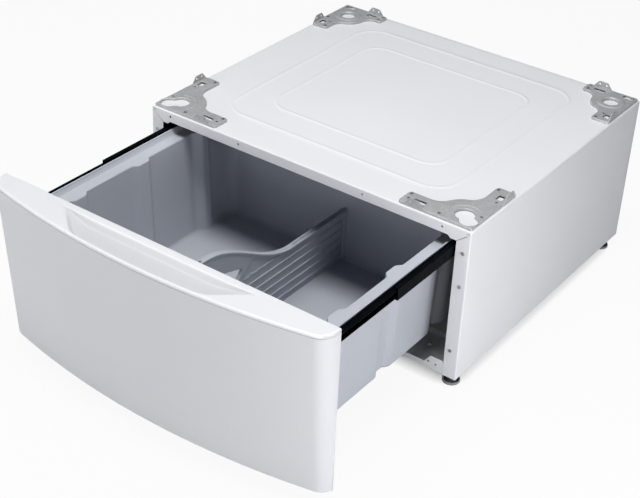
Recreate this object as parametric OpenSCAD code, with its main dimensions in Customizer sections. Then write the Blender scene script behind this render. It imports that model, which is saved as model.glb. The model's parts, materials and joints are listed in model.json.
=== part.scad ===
// Laundry pedestal: a white steel cabinet with a full-extension storage drawer.
// Millimetres. X runs to the right, Y to the rear, Z up. The floor is Z = 0 and the
// origin is the centre of the four feet. The drawer is drawn open by open_now.

/* [Cabinet] */
// Width over the side walls
cab_w = 686; // [640:1:760]
// Depth from the front flanges to the rear panel
cab_d = 617; // [600:1:700]
// Height from the underside to the deck
cab_h = 298.5; // [285:0.5:340]
// Thickness of the painted sheet
sheet_t = 1; // [0.8:0.1:1.4]
// Outer radius of the two folded top edges
bend_r = 4; // [2:0.5:6]
// Width of the flange beside the drawer opening
jamb_w = 26; // [24:1:34]
// Depth of the folded lip behind the jamb and behind the top rail
return_d = 12; // [8:1:13]
// Height of the top rail
rail_h = 19.5; // [14:0.5:24]
// Extra height of the top rail at its two ends
rail_tab_drop = 5; // [2:0.5:6]
// Width of the deeper ends of the top rail
rail_tab_w = 12; // [8:1:20]
// Width of the inward flanges at the bottom edge
bottom_flange_w = 14; // [8:1:14]
// Width of the inward flanges at the rear edge
rear_flange_w = 14; // [10:1:20]
// Thickness of the rear panel
rear_t = 1; // [0.8:0.1:1.5]

/* [Deck beads] */
// Half width of the outer bead
bead_outer_x = 243; // [220:1:260]
// Half depth of the outer bead
bead_outer_y = 237.5; // [210:0.5:240]
// Corner radius of the outer bead
bead_outer_r = 50; // [30:1:70]
// Half width of the inner bead
bead_inner_x = 186; // [150:1:200]
// Half depth of the inner bead
bead_inner_y = 172.5; // [150:0.5:190]
// Corner radius of the inner bead
bead_inner_r = 40; // [20:1:60]
// Width of a bead
bead_w = 9; // [6:1:12]
// Height of a bead
bead_h = 1; // [0.5:0.1:1.5]
// Distance that the bead pattern sits behind the middle of the deck
bead_shift = 8; // [0:1:12]

/* [Base and feet] */
// Standing height of the cabinet over the floor with the feet screwed in
foot_h = 25; // [24:0.5:40]
// Distance of a foot from the side of the cabinet
foot_inset_x = 21; // [20:0.5:24]
// Distance of a foot from the front or the rear
foot_inset_y = 25; // [23:0.5:40]
// Radius of a foot pad
pad_r = 16; // [12:0.5:19]
// Height of a foot pad
pad_h = 12; // [8:0.5:12]
// Radius of the threaded stud
stud_r = 5; // [4:0.25:5]
// Travel of a foot
foot_travel = 18; // [10:1:20]
// Depth of a base channel
base_d = 91; // [70:1:110]
// Thickness of the galvanised steel
galv_t = 1.5; // [1.2:0.1:1.8]
// Height of the lip at the inner edge of a base channel
base_lip_h = 13; // [8:1:15]
// Height of the bottom rail at its middle
kick_h = 12; // [9:0.5:14]
// Height of the bottom rail at its ends
kick_end_h = 28; // [20:0.5:30]
// Width of the high ends of the bottom rail
kick_end_w = 38; // [34:1:50]

/* [Top brackets] */
// Thickness of a bracket plate
plate_t = 1.5; // [1.2:0.1:2]
// Height of a bracket plate's top over the deck
plate_rise = 4.5; // [3.5:0.25:6]
// Height of a bent-up ear over the plate
ear_h = 12; // [8:0.5:15]
// Radius of the screw holes in the ears
ear_hole_r = 2; // [1.5:0.1:2.5]
// Length of a front bracket along the front
front_arm_x = 146; // [135:1:160]
// Length of a front bracket along the side
front_arm_y = 149; // [145:1:165]
// Radius of the keyhole's round end
keyhole_r = 18; // [14:0.5:19]
// Length of a rear bracket along the rear
rear_arm_x = 107; // [105:1:125]
// Length of a rear bracket along the side
rear_arm_y = 131; // [130:1:150]
// Radius of the round hole in a rear bracket
rear_hole_r = 15; // [12:0.5:17]

/* [Slides] */
// Length of each slide member
slide_len = 508; // [480:1:530]
// Thickness of the closed slide
slide_t = 12.7; // [12.7:0.1:14]
// Height of the cabinet member
slide_h = 30; // [28:0.5:34]
// Sheet thickness of the slide members
member_t = 1; // [0.8:0.1:1.2]
// Diameter of the balls
ball_d = 2.5; // [2:0.1:3]
// Height from the slide's centre line up to the deck
slide_drop = 46; // [44:0.5:52]
// Distance of the slide behind the front of the cabinet
slide_setback = 15; // [14:0.5:25]
// Height of the slide carrier's web
carrier_h = 41; // [36:0.5:42]

/* [Drawer] */
// Distance that the drawer is drawn open in this model
open_now = 355.5; // [0:0.5:445]
// Gap between the closed drawer front and the cabinet
close_gap = 1.5; // [1:0.1:3]
// Length of the tub over its rim
tub_len = 527; // [500:1:540]
// Wall thickness of the tub
tub_wall = 3; // [2:0.1:4]
// Width of the flat ledge round the tub
ledge_w = 16; // [12:0.5:20]
// Depth of the ledge below the lip
lip_rise = 10; // [8:0.5:12]
// Distance that each tub wall leans out between floor and ledge
tub_draft = 10; // [4:0.5:12]
// Corner radius of the tub at its floor
tub_corner_r = 24; // [15:1:40]
// Depth of the two front wall columns
column_depth = 9; // [6:0.5:12]
// Width of the two front wall columns
column_w = 42; // [30:1:50]
// Depth of the rear wall column
rear_column_depth = 14; // [8:0.5:16]
// Width of the rear wall column
rear_column_w = 40; // [36:1:50]
// Thickness of the drawer side rail
rail_t = 1.5; // [1.2:0.1:1.8]
// Height of the drawer side rail
rail_web_h = 20.5; // [18:0.5:22]

/* [Drawer front] */
// Height of the drawer front above the deck
front_rise = 13.5; // [5:0.5:20]
// Depth of the front at the middle of its top edge
crest_d = 74; // [66:0.5:90]
// Radius of the bow seen from above
bow_r = 1490; // [1300:10:2200]
// Corner radius of the bowed face
corner_r = 30; // [15:1:34]
// Lean of the face
face_lean = 3.76; // [1:0.01:4.2]
// Thickness of the painted front skin
skin_t = 1; // [0.8:0.1:1.5]
// Height of the plastic cap on the top edge
cap_h = 5.5; // [4:0.5:8]
// Wall thickness of the plastic cap
cap_wall = 2.5; // [2:0.1:3]
// Half width of the hand scoop at its rear edge
scoop_rear_x = 189; // [150:1:220]
// Half width of the hand scoop where its front edge starts
scoop_front_x = 83; // [60:1:120]
// Width of the strip behind the hand scoop
scoop_back = 17; // [14:0.5:22]
// Width of the rim in front of the hand scoop
scoop_rim = 9; // [8:0.5:14]
// Depth of the hand scoop
scoop_depth = 20; // [14:0.5:24]
// Radius of the scoop's rounded bottom
scoop_r = 45; // [42:1:60]

/* [Divider] */
// Distance of the divider from the middle of the tub
divider_x = 5; // [-40:1:40]
// Thickness of the divider panel
divider_t = 4; // [3:0.1:6]
// Height of the divider's low rear part
divider_low_h = 107; // [90:1:130]
// Distance from the divider's high front part up to the tub's lip
divider_drop = 24; // [18:1:60]
// Width of the band along the divider's top edge
band_w = 9; // [7:0.5:12]
// Height of the band along the divider's top edge
band_h = 4; // [3:0.5:6]
// Spacing of the ribs
rib_pitch = 18.3; // [14:0.1:22]

/* [Fits] */
// Gap between the slide and the drawer opening
slide_clear = 1.1; // [0.6:0.1:2]
// Gap between the tub and the drawer side rail
tub_gap = 1.7; // [0.5:0.1:2.5]
// Gap between the tub's rim and the drawer front
tub_front_gap = 0.3; // [0.2:0.1:1]
// Height of the tub's underside over the ends of the bottom rail
tub_floor_clear = 12; // [8:0.5:20]
// Gap round plates, balls, ball cages and guides
gap = 0.3; // [0.2:0.05:0.4]
// Radial gap of a screw in its hole
screw_gap = 0.2; // [0.1:0.05:0.3]
// Radial gap of a foot stud in its nuts and its pad
stud_gap = 0.08; // [0.05:0.01:0.1]

/* [Hidden] */
$fn = 64;

// Colours
white_paint = [0.93, 0.93, 0.95];
zinc = [0.67, 0.68, 0.70];
black_steel = [0.08, 0.08, 0.09];
grey_plastic = [0.66, 0.68, 0.72];
divider_grey = [0.55, 0.57, 0.61];
cap_white = [0.95, 0.95, 0.97];
screw_steel = [0.60, 0.60, 0.62];
rubber_black = [0.15, 0.15, 0.16];

// Overlap that joins or cuts solids cleanly
eps = 0.01;
over = 1;
// Planes of the cabinet
xs = cab_w / 2;
yf = -cab_d / 2;
yb = cab_d / 2;
z0 = foot_h;
z1 = foot_h + cab_h;
// Half width of the drawer opening
xo = xs - jamb_w;
// Height of the opening's top edge and of the ends of the top rail
rail_z = z1 - rail_h;
rail_tab_z = rail_z - rail_tab_drop;
// Places where the flanges meet in a mitre and the slot between them
mitre_slot = 0.5;
mitre_out = [7, 9.5];
// Relief hole in the front top corners
relief_r = 2.5;
relief_in = [6, 3.5];
// Screw and hole sizes
hole_r = 2.2;
shank_r = 1.8;
head_r = 3.4;
head_h = 1.8;
shank_len = 7;
// Holes of the top rail, measured in from either side, and their drop from the deck
rail_holes_left = [44, 204];
rail_holes_right = [55, 214];
rail_hole_drop = 9;
// Screws of a jamb: distance in from the side and height over the underside
jamb_screw_at = [[12, 254], [12, 189], [16, 56]];
jamb_head_h = 0.9;
carrier_tab_z = 180;
// Rear screws: distance from the panel's edges, heights of the side rows, shares of the top row
rear_screw_inset = 7;
rear_screw_low = 40;
rear_screw_high = 45;
rear_screw_share = 0.6;
// Stiffening fold of the rear panel: distance over the base channel and from the side flanges
fold_over = 2;
fold_side = 4;
// Base channel
stud_hole_gap = 0.6;
stud_hole_r = stud_r + stud_hole_gap;
drain_hole_r = 4;
drain_hole_at = [87, 56];
weld_nut_h = 8;
weld_nut_af = 17;
lock_nut_h = 6;
lock_nut_af = 17;
stud_hex_af = 13;
stud_hex_h = 5;
stud_spigot_r = 4;
stud_spigot_l = 7.7;
stud_spare = 2;
stud_top = z0 + sheet_t + galv_t + weld_nut_h + foot_travel + stud_spare;
pad_rim_h = 5;
pad_top_r = pad_r - 4;
foot_x = xs - foot_inset_x;
foot_y = cab_d / 2 - foot_inset_y;
// Jamb lip starts above the base channel
jamb_lip_z = z0 + sheet_t + galv_t + 2 * gap;
// Bottom rail
kick_low = 2;
kick_mid_drop = 4;
kick_mid_x = 240;
// Distances from kick_mid_x where the lower edge starts, leans and ends its rise
kick_ramp = [-14, -6, 4, 12];
kick_corner = 3;
// Distance that the base channel's lips stay below the rail's edge and its raised ends
kick_lip_drop = 1;
kick_end_drop = 4;
kick_step = 12;
kick_hole_at = [[30, 15], [15, 14]];
kick_hole_r = 2.2;
// Slide section: u runs from the drawer's rail out to the carrier, v up from the centre
track = ball_d + 2 * gap;
out_v = slide_h / 2;
mid_v = out_v - member_t - track;
in_v = mid_v - member_t - track;
cage_t = 0.4;
mid_u = slide_t - member_t - cage_t - 2 * gap;
cage_out_u = slide_t - member_t - gap - cage_t;
cage_in_u = mid_u - member_t - gap - cage_t;
in_tip_u = cage_in_u - gap;
out_lip_u = 5;
mid_lip_u = 2.6;
cage_len = 180;
cage_start = 150;
ball_count = 6;
ball_out_u = 7.6;
ball_in_u = 5.4;
slide_x1 = xo - slide_clear;
slide_x0 = slide_x1 - slide_t;
slide_z = z1 - slide_drop;
slide_y = yf + slide_setback;
slide_screw_at = [8, slide_len / 2, slide_len - 28];
// Carrier
carrier_rear = yb - rear_t - sheet_t;
carrier_screw_at = [40, slide_len / 2 - 4, slide_len - 48];
// Drawer planes, with the drawer closed
front_y = yf - close_gap;
tub_x = slide_x0 - rail_t - tub_gap;
tub_y0 = front_y + rail_t + tub_front_gap;
tub_y1 = tub_y0 + tub_len;
rail_x1 = slide_x0;
rail_x0 = rail_x1 - rail_t;
rail_z0 = slide_z - 10.5;
rail_flange_w = 22;
rail_tail = 20;
rail_nose_len = 60;
rail_nose_drop = 7;
rail_tab_in = 18;
lip_w = 1.5;
lip_slope_w = 10.5;
skirt_z = rail_z0 + rail_t;
rim_h = 20;
lip_z = skirt_z + rim_h;
ledge_z = lip_z - lip_rise;
tub_z0 = z0 + kick_end_h + tub_floor_clear;
tub_floor_z = tub_z0 + tub_wall;
well_front_in = 7;
well_h = ledge_z - tub_floor_z;
well_x = tub_x - lip_w - lip_slope_w - ledge_w;
well_y0 = tub_y0 + well_front_in;
well_y1 = tub_y1 - lip_w - lip_slope_w - ledge_w;
draft_angle = atan(tub_draft / well_h);
// Wall columns: distance behind the tub's front edge, width, depth
columns = [[88, column_w, column_depth], [245, column_w, column_depth],
  [406, rear_column_w, rear_column_depth]];
guide_t = 2.5;
guide_d = 6;
// Distance that the rear and the front guides end below the divider's top edge
guide_drop = [6, 12];
// Drawer front
front_z0 = z0;
front_z1 = z1 + front_rise;
cap_z = front_z1 - cap_h;
cap_skirt = 12;
bow_cy = bow_r - crest_d;
corner_cy = bow_cy - sqrt(pow(bow_r - corner_r, 2) - pow(xs - corner_r, 2));
bow_half = asin((xs - corner_r) / (bow_r - corner_r));
back_plate_t = 1.2;
bumper_r = 5;
bumper_h = close_gap - gap;
bumper_in = 12;
bumper_from_edge = [22, 14];
bumper_z = [front_z0 + bumper_from_edge[0], z1 - bumper_from_edge[1]];
front_screw_z = rail_z0 - head_r - gap;
front_screw_in = 9;
// Distance that the shapes which cut the front reach past it
reach = 60;
// Divider outline, measured from the tub's front edge and from the tub's floor
curve_rear = 327;
curve_front = 92;
divider_high_h = lip_z - divider_drop - tub_floor_z;
window_at = [[55, 110], [173, 110], [190, 131], [135, 147], [55, 158]];
rib_first = 14;
rib_h = 1;
rib_w = 1.6;
rib_count = 6;
rib_end_gap = 2;
// The topmost rib ends where the top edge dips down to it
top_rib_rear = 295;
foot_corners = [[-1, -1], [1, -1], [-1, 1], [1, 1]];

// Sheet outline of the cabinet with two round top corners
module cabinet_outline(inset) {
  r = bend_r - inset;
  translate([-xs + inset, z0]) square([2 * (xs - inset), cab_h - bend_r]);
  translate([-xs + bend_r, z0]) square([2 * (xs - bend_r), cab_h - inset]);
  for (s = [-1, 1]) translate([s * (xs - bend_r), z1 - bend_r]) circle(r);
}

// Turns a drawing in X and Z into a plate of thickness t whose front is at y
module upright(y, t) translate([0, y + t, 0]) rotate([90, 0, 0]) linear_extrude(t) children();

// Box between two corners
module box(a, b) translate(a) cube(b - a);

// Both sides of the object
module both() {
  children();
  mirror([1, 0, 0]) children();
}

// Screw whose head stands on the plane y and whose shank runs towards -Y
module screw_from_rear(x, y, z, len = shank_len) {
  translate([x, y, z]) rotate([-90, 0, 0]) cylinder(r = head_r, h = head_h);
  translate([x, y, z]) rotate([90, 0, 0]) cylinder(r = shank_r, h = len);
}

// Hole along Y
module hole_y(x, y, z, r, len) translate([x, y - over, z]) rotate([-90, 0, 0])
  cylinder(r = r, h = len + 2 * over);

// Half-round ridge that follows a rounded rectangle on the deck
module bead_ring(hx, hy, r) {
  ridge_r = (bead_w * bead_w / 4 + bead_h * bead_h) / (2 * bead_h);
  translate([0, bead_shift, z1]) for (a = [0, 90, 180, 270]) {
    ex = (a % 180 == 0) ? hx : hy;
    ey = (a % 180 == 0) ? hy : hx;
    rotate(a) {
      translate([ex, ey - r, 0]) rotate([90, 0, 0]) linear_extrude(2 * (ey - r)) ridge(ridge_r);
      translate([ex - r, ey - r, 0]) rotate_extrude(angle = 90) translate([r, 0]) ridge(ridge_r);
    }
  }
}

module ridge(ridge_r) intersection() {
  translate([0, bead_h - ridge_r]) circle(ridge_r);
  translate([-bead_w, -sheet_t / 2]) square([2 * bead_w, bead_h + sheet_t]);
}

// Slot along the mitre of the front flanges, right side
module mitre() {
  p = [xs - mitre_out[0], z1 - mitre_out[1]];
  q = [xo, rail_tab_z];
  d = (q - p) / norm(q - p);
  n = [-d[1], d[0]] * mitre_slot / 2;
  polygon([p + n, q + d + n, q + d - n, p - n]);
}

// Drawer opening in the front flanges
module opening() {
  polygon([[-xo, z0 - over], [-xo, rail_tab_z], [-xo + rail_tab_w, rail_tab_z],
    [-xo + rail_tab_w + rail_tab_drop, rail_z], [xo - rail_tab_w - rail_tab_drop, rail_z],
    [xo - rail_tab_w, rail_tab_z], [xo, rail_tab_z], [xo, z0 - over]]);
}

// One bent sheet: deck, two sides, the front flanges and the rear and bottom flanges
module cabinet_wrapper() color(white_paint) difference() {
  union() {
    upright(yf, cab_d - rear_t) difference() {
      cabinet_outline(0);
      translate([0, -over]) cabinet_outline(sheet_t);
      translate([-xs + sheet_t, z0 - over]) square([2 * (xs - sheet_t), cab_h / 2]);
      translate([-xs + bend_r, z0]) square([2 * (xs - bend_r), cab_h - sheet_t]);
    }
    upright(yf, sheet_t) difference() {
      cabinet_outline(0);
      opening();
      mitre();
      mirror([1, 0]) mitre();
    }
    upright(yb - rear_t - sheet_t, sheet_t) difference() {
      cabinet_outline(0);
      translate([-xs + rear_flange_w, z0 - over])
        square([2 * (xs - rear_flange_w), cab_h - rear_flange_w + over]);
    }
    both() box([xs - sheet_t - bottom_flange_w, yf, z0], [xs - eps, yb - rear_t, z0 + sheet_t]);
    both() box([xo, yf + eps, jamb_lip_z], [xo + sheet_t, yf + return_d, rail_tab_z - sheet_t]);
    box([-xo + rail_tab_w + rail_tab_drop, yf + eps, rail_z],
      [xo - rail_tab_w - rail_tab_drop, yf + return_d, rail_z + sheet_t]);
    bead_ring(bead_outer_x, bead_outer_y, bead_outer_r);
    bead_ring(bead_inner_x, bead_inner_y, bead_inner_r);
  }
  both() hole_y(xs - relief_in[0], yf, z1 - relief_in[1], relief_r, sheet_t);
  for (x = rail_holes_left) hole_y(x - xs, yf, z1 - rail_hole_drop, hole_r, sheet_t);
  for (x = rail_holes_right) hole_y(xs - x, yf, z1 - rail_hole_drop, hole_r, sheet_t);
  both() for (p = jamb_screw_at)
    hole_y(xs - p[0], yf, z0 + p[1], shank_r + screw_gap, sheet_t);
  for (p = rear_screw_points())
    hole_y(p[0], yb - rear_t - sheet_t, p[1], shank_r + screw_gap, sheet_t);
}

function rear_screw_points() = [
  for (s = [-1, 1]) for (h = [rear_screw_low, cab_h / 2, cab_h - rear_screw_high])
    [s * (xs - rear_screw_inset), z0 + h],
  for (s = [-1, 0, 1]) [s * xs * rear_screw_share, z1 - rear_screw_inset]];

// Rear panel with a stiffening fold above the rear base channel
module rear_panel() color(white_paint) difference() {
  fold_z = z0 + sheet_t + base_lip_h + fold_over;
  fold_x = xs - rear_flange_w - fold_side;
  union() {
    box([-xs + sheet_t, yb - rear_t, z0 + sheet_t], [xs - sheet_t, yb, z1 - sheet_t]);
    box([-fold_x, yb - return_d, fold_z], [fold_x, yb, fold_z + rear_t]);
  }
  for (p = rear_screw_points()) hole_y(p[0], yb - rear_t, p[1], shank_r + screw_gap, rear_t);
}

module rear_panel_screws() color(screw_steel)
  for (p = rear_screw_points()) screw_from_rear(p[0], yb, p[1]);

// Bottom rail with high ends, screw holes and a slightly deeper middle
module front_bottom_rail() color(white_paint) {
  xe = xo - gap;
  xh = xo - kick_end_w;
  low = z0 + kick_low;
  xm = kick_mid_x;
  half = [[xm + kick_ramp[0], low - kick_mid_drop], [xm + kick_ramp[1], low - 0.75 * kick_mid_drop],
    [xm + kick_ramp[2], low - 0.25 * kick_mid_drop], [xm + kick_ramp[3], low], [xe, low],
    [xe, z0 + kick_end_h - kick_corner], [xe - kick_corner, z0 + kick_end_h],
    [xh + kick_step, z0 + kick_end_h], [xh, z0 + kick_h]];
  left = [for (i = [len(half) - 1:-1:0]) [-half[i][0], half[i][1]]];
  difference() {
    upright(yf, sheet_t) polygon(concat(half, left));
    both() for (p = kick_hole_at) hole_y(xo - p[0], yf, z0 + p[1], kick_hole_r, sheet_t);
  }
}

// Galvanised floor channel that carries two feet, with the holes of the feet moved out by
// foot_shift; the front one backs the bottom rail and has its holes
module base_channel(foot_shift, is_front) {
  xw = xs - sheet_t - gap;
  xl = xo - kick_lip_drop;
  y0 = yf + sheet_t;
  y1 = yf + base_d;
  zb = z0 + sheet_t;
  difference() {
    union() {
      box([-xw, y0, zb], [xw, y1, zb + galv_t]);
      box([-xl, y0, zb], [xl, y0 + galv_t, z0 + kick_h - kick_lip_drop]);
      if (is_front) both()
        box([xo - kick_end_w + kick_step, y0, zb],
          [xl, y0 + galv_t, z0 + kick_end_h - kick_end_drop]);
      box([-xw, y1 - galv_t, zb], [xw, y1, zb + base_lip_h]);
    }
    both() translate([foot_x, -foot_y - foot_shift, z0])
      cylinder(r = stud_hole_r, h = base_lip_h);
    both() translate([xs - drain_hole_at[0], yf + drain_hole_at[1], z0])
      cylinder(r = drain_hole_r, h = base_lip_h);
    if (is_front) both() for (p = kick_hole_at)
      hole_y(xo - p[0], y0, z0 + p[1], kick_hole_r, galv_t);
  }
}

module front_base_channel() color(zinc) base_channel(0, true);

module rear_base_channel() color(zinc)
  translate([0, -rear_t, 0]) mirror([0, 1, 0]) base_channel(rear_t, false);

// Hexagonal nut with a round bore
module hex_nut(af, h) difference() {
  cylinder(r = af / sqrt(3), h = h, $fn = 6);
  translate([0, 0, -over]) cylinder(r = stud_r + stud_gap, h = h + 2 * over);
}

function foot_place(c) = [c[0] * foot_x, c[1] * foot_y, 0];

module foot_weld_nuts() color(zinc) for (c = foot_corners)
  translate(foot_place(c) + [0, 0, z0 + sheet_t + galv_t]) hex_nut(weld_nut_af, weld_nut_h);

module foot_lock_nuts() color(screw_steel) for (c = foot_corners)
  translate(foot_place(c) + [0, 0, z0 - lock_nut_h]) hex_nut(lock_nut_af, lock_nut_h);

// Round pad with a socket for the stud
module foot_pad(c) color(rubber_black) translate(foot_place(c)) difference() {
  union() {
    cylinder(r = pad_r, h = pad_rim_h);
    translate([0, 0, pad_rim_h]) cylinder(r1 = pad_r, r2 = pad_top_r, h = pad_h - pad_rim_h);
  }
  translate([0, 0, pad_h - stud_spigot_l - gap])
    cylinder(r = stud_spigot_r + stud_gap, h = stud_spigot_l + gap + over);
}

// Threaded stud with a hexagonal collar
module foot_stud(c) color(screw_steel) translate(foot_place(c)) {
  translate([0, 0, pad_h - stud_spigot_l]) cylinder(r = stud_spigot_r, h = stud_spigot_l + eps);
  translate([0, 0, pad_h]) cylinder(r = stud_hex_af / sqrt(3), h = stud_hex_h, $fn = 6);
  translate([0, 0, pad_h]) cylinder(r = stud_r, h = stud_top - pad_h);
}

module front_left_foot_pad() foot_pad([-1, -1]);
module front_right_foot_pad() foot_pad([1, -1]);
module rear_left_foot_pad() foot_pad([-1, 1]);
module rear_right_foot_pad() foot_pad([1, 1]);
module front_left_foot_stud() foot_stud([-1, -1]);
module front_right_foot_stud() foot_stud([1, -1]);
module rear_left_foot_stud() foot_stud([-1, 1]);
module rear_right_foot_stud() foot_stud([1, 1]);

// Points of an arc from angle a to angle b
function arc(c, r, a, b, n = 8) = [for (i = [0:n]) c + r * [cos(a + (b - a) * i / n),
  sin(a + (b - a) * i / n)]];

// Angle of a direction
function angle_of(v) = atan2(v[1], v[0]);

// Outline of a corner bracket: two arms along the edges and a round boss in the corner.
// p and q are the arms' free ends, wx and wy their inner edges, c and r the boss and f the
// radius of the hollow curve between boss and arm
function bracket_points(p0, p, q, wx, wy, c, r, f) = let (
  k = bracket_corner_r,
  fx = [c[0] + sqrt(pow(r + f, 2) - pow(wy + f - c[1], 2)), wy + f],
  fy = [wx + f, c[1] + sqrt(pow(r + f, 2) - pow(wx + f - c[0], 2))],
  ax = angle_of(fx - c),
  ay = angle_of(fy - c)
) concat(
  arc(p0 + [k, k], k, 180, 270),
  arc([p - k, p0[1] + k], k, 270, 360),
  arc([p - k, wy - k], k, 0, 90),
  arc(fx, f, 270, ax + 180),
  arc(c, r, ax, ay, 12),
  arc(fy, f, ay + 180, 180),
  arc([wx - k, q - k], k, 0, 90),
  arc([p0[0] + k, q - k], k, 90, 180));

// Ear bent up from the bracket's edge, drawn along X from the middle of its base
module ear(base, hole_gap) rotate([90, 0, 0]) linear_extrude(plate_t) difference() {
  top = plate_t + ear_h;
  half = base / 2 - ear_slope;
  polygon([[-base / 2, 0], [base / 2, 0], [half, top - ear_cut], [half - ear_cut, top],
    [-half + ear_cut, top], [-half, top - ear_cut]]);
  for (s = [-1, 1]) translate([s * hole_gap / 2, plate_t + ear_h / 2]) circle(ear_hole_r);
}

// Distance of a bracket's edges from the side and from the front or the rear
edge_in = [3, 4];
front_boss = [38, 40];
front_boss_r = 45;
front_fillet = 30;
front_wx = 39;
front_wy = 43;
keyhole_at = [36, 38];
keyslot_at = [21, 24];
keyslot_r = keyhole_r - 1;
front_ear_x = [114, 40];
front_ear_y = [128, 40];
ear_hole_gap = 14;
small_hole_r = 2.5;
// Slope of an ear's sides and the cut at its top corners
ear_slope = 9;
ear_cut = 2;
bracket_corner_r = 6;
// Distance from the corner where a bracket's turned-down edges start
edge_start = 8;
front_small_holes = [[15, 103], [10, 47], [136, 22], [103, 12]];
front_rivets = [[33, 140], [139, 36], [70, 12]];
front_windows = [[[102, 18], [126, 28]], [[11, 112], [23, 128]]];
rear_boss = [38, 50];
rear_boss_r = 38;
rear_fillet = 20;
rear_wx = 39;
rear_wy = 34;
collar_r = 26;
collar_h = 1.2;
oval_a = [13, 13];
oval_a_r = 6;
oval_b = [23, 12];
oval_b_r = 7.5;
rear_ear_x = [77, 40];
rear_ear_y = [108, 40];
rear_hole_at = [38, 50];
rear_small_holes = [[100, 10], [27, 101]];
rear_rivets = [[98, 26], [32, 124], [10, 84]];
rear_windows = [[[66, 14], [88, 24]], [[10, 102], [22, 118]]];
rivet_pad_rim = 1;
rivet_head_r = 3;
rivet_head_h = 0.8;
rivet_shank_r = 1.6;
plate_z = z1 + plate_rise - plate_t;

// Flat plate with its two turned-down edges; x and y are measured in from the corner
module bracket_plate(points, p, q) {
  translate([0, 0, plate_z]) linear_extrude(plate_t) polygon(points);
  s = edge_start;
  box([edge_in[0] + s, edge_in[1], z1], [p - s, edge_in[1] + plate_t, plate_z + eps]);
  box([edge_in[0], edge_in[1] + s, z1], [edge_in[0] + plate_t, q - s, plate_z + eps]);
}

// Pad under the plate that a rivet pulls down on the deck
module rivet_pad(p) translate([p[0], p[1], z1])
  cylinder(r = rivet_head_r + rivet_pad_rim, h = plate_rise - eps);

module rivet_hole(p) translate([p[0], p[1], z1 - over])
  cylinder(r = rivet_shank_r + screw_gap, h = plate_rise + 2 * over);

module small_hole(p) translate([p[0], p[1], z1]) cylinder(r = small_hole_r, h = ear_h);

// Window beside an ear
module window(a, b) box([a[0], a[1], plate_z - over], [b[0], b[1], plate_z + plate_t + over]);

module front_bracket() difference() {
  union() {
    bracket_plate(bracket_points(edge_in, front_arm_x, front_arm_y, front_wx, front_wy,
      front_boss, front_boss_r, front_fillet), front_arm_x, front_arm_y);
    translate([front_ear_x[0], edge_in[1] + plate_t, plate_z]) ear(front_ear_x[1], ear_hole_gap);
    translate([edge_in[0], front_ear_y[0], plate_z]) rotate(90) ear(front_ear_y[1], ear_hole_gap);
    for (p = front_rivets) rivet_pad(p);
  }
  translate([keyhole_at[0], keyhole_at[1], z1 - eps]) cylinder(r = keyhole_r, h = plate_rise + over);
  translate([keyslot_at[0], keyslot_at[1], z1 - eps]) cylinder(r = keyslot_r, h = plate_rise + over);
  for (p = front_small_holes) small_hole(p);
  for (p = front_rivets) rivet_hole(p);
  for (w = front_windows) window(w[0], w[1]);
}

module rear_bracket() difference() {
  union() {
    bracket_plate(bracket_points(edge_in, rear_arm_x, rear_arm_y, rear_wx, rear_wy,
      rear_boss, rear_boss_r, rear_fillet), rear_arm_x, rear_arm_y);
    translate([rear_boss[0], rear_boss[1], plate_z]) cylinder(r = collar_r, h = plate_t + collar_h);
    translate([rear_ear_x[0], edge_in[1] + plate_t, plate_z]) ear(rear_ear_x[1], ear_hole_gap);
    translate([edge_in[0], rear_ear_y[0], plate_z]) rotate(90) ear(rear_ear_y[1], ear_hole_gap);
    for (p = rear_rivets) rivet_pad(p);
  }
  translate([rear_hole_at[0], rear_hole_at[1], z1 - eps])
    cylinder(r = rear_hole_r, h = plate_rise + collar_h + over);
  translate([oval_a[0], oval_a[1], plate_z - eps]) cylinder(r = oval_a_r, h = ear_h);
  translate([oval_b[0], oval_b[1], plate_z - eps]) cylinder(r = oval_b_r, h = ear_h);
  for (p = rear_small_holes) small_hole(p);
  for (p = rear_rivets) rivet_hole(p);
  for (w = rear_windows) window(w[0], w[1]);
}

// Puts a corner drawing with x and y measured inwards on one of the deck's corners
module at_corner(sx, sy) translate([sx * xs, sy * cab_d / 2, 0])
  mirror([sx > 0 ? 1 : 0, 0, 0]) mirror([0, sy > 0 ? 1 : 0, 0]) children();

module front_left_bracket() color(zinc) at_corner(-1, -1) front_bracket();
module front_right_bracket() color(zinc) at_corner(1, -1) front_bracket();
module rear_left_bracket() color(zinc) at_corner(-1, 1) rear_bracket();
module rear_right_bracket() color(zinc) at_corner(1, 1) rear_bracket();

// Blind rivets that hold the brackets down on the deck
module bracket_rivets() color(screw_steel) {
  for (s = [-1, 1]) at_corner(s, -1) for (p = front_rivets) rivet(p);
  for (s = [-1, 1]) at_corner(s, 1) for (p = rear_rivets) rivet(p);
}

module rivet(p) translate([p[0], p[1], z1]) {
  cylinder(r = rivet_shank_r, h = plate_rise + eps);
  translate([0, 0, plate_rise]) cylinder(r = rivet_head_r, h = rivet_head_h);
}

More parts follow.
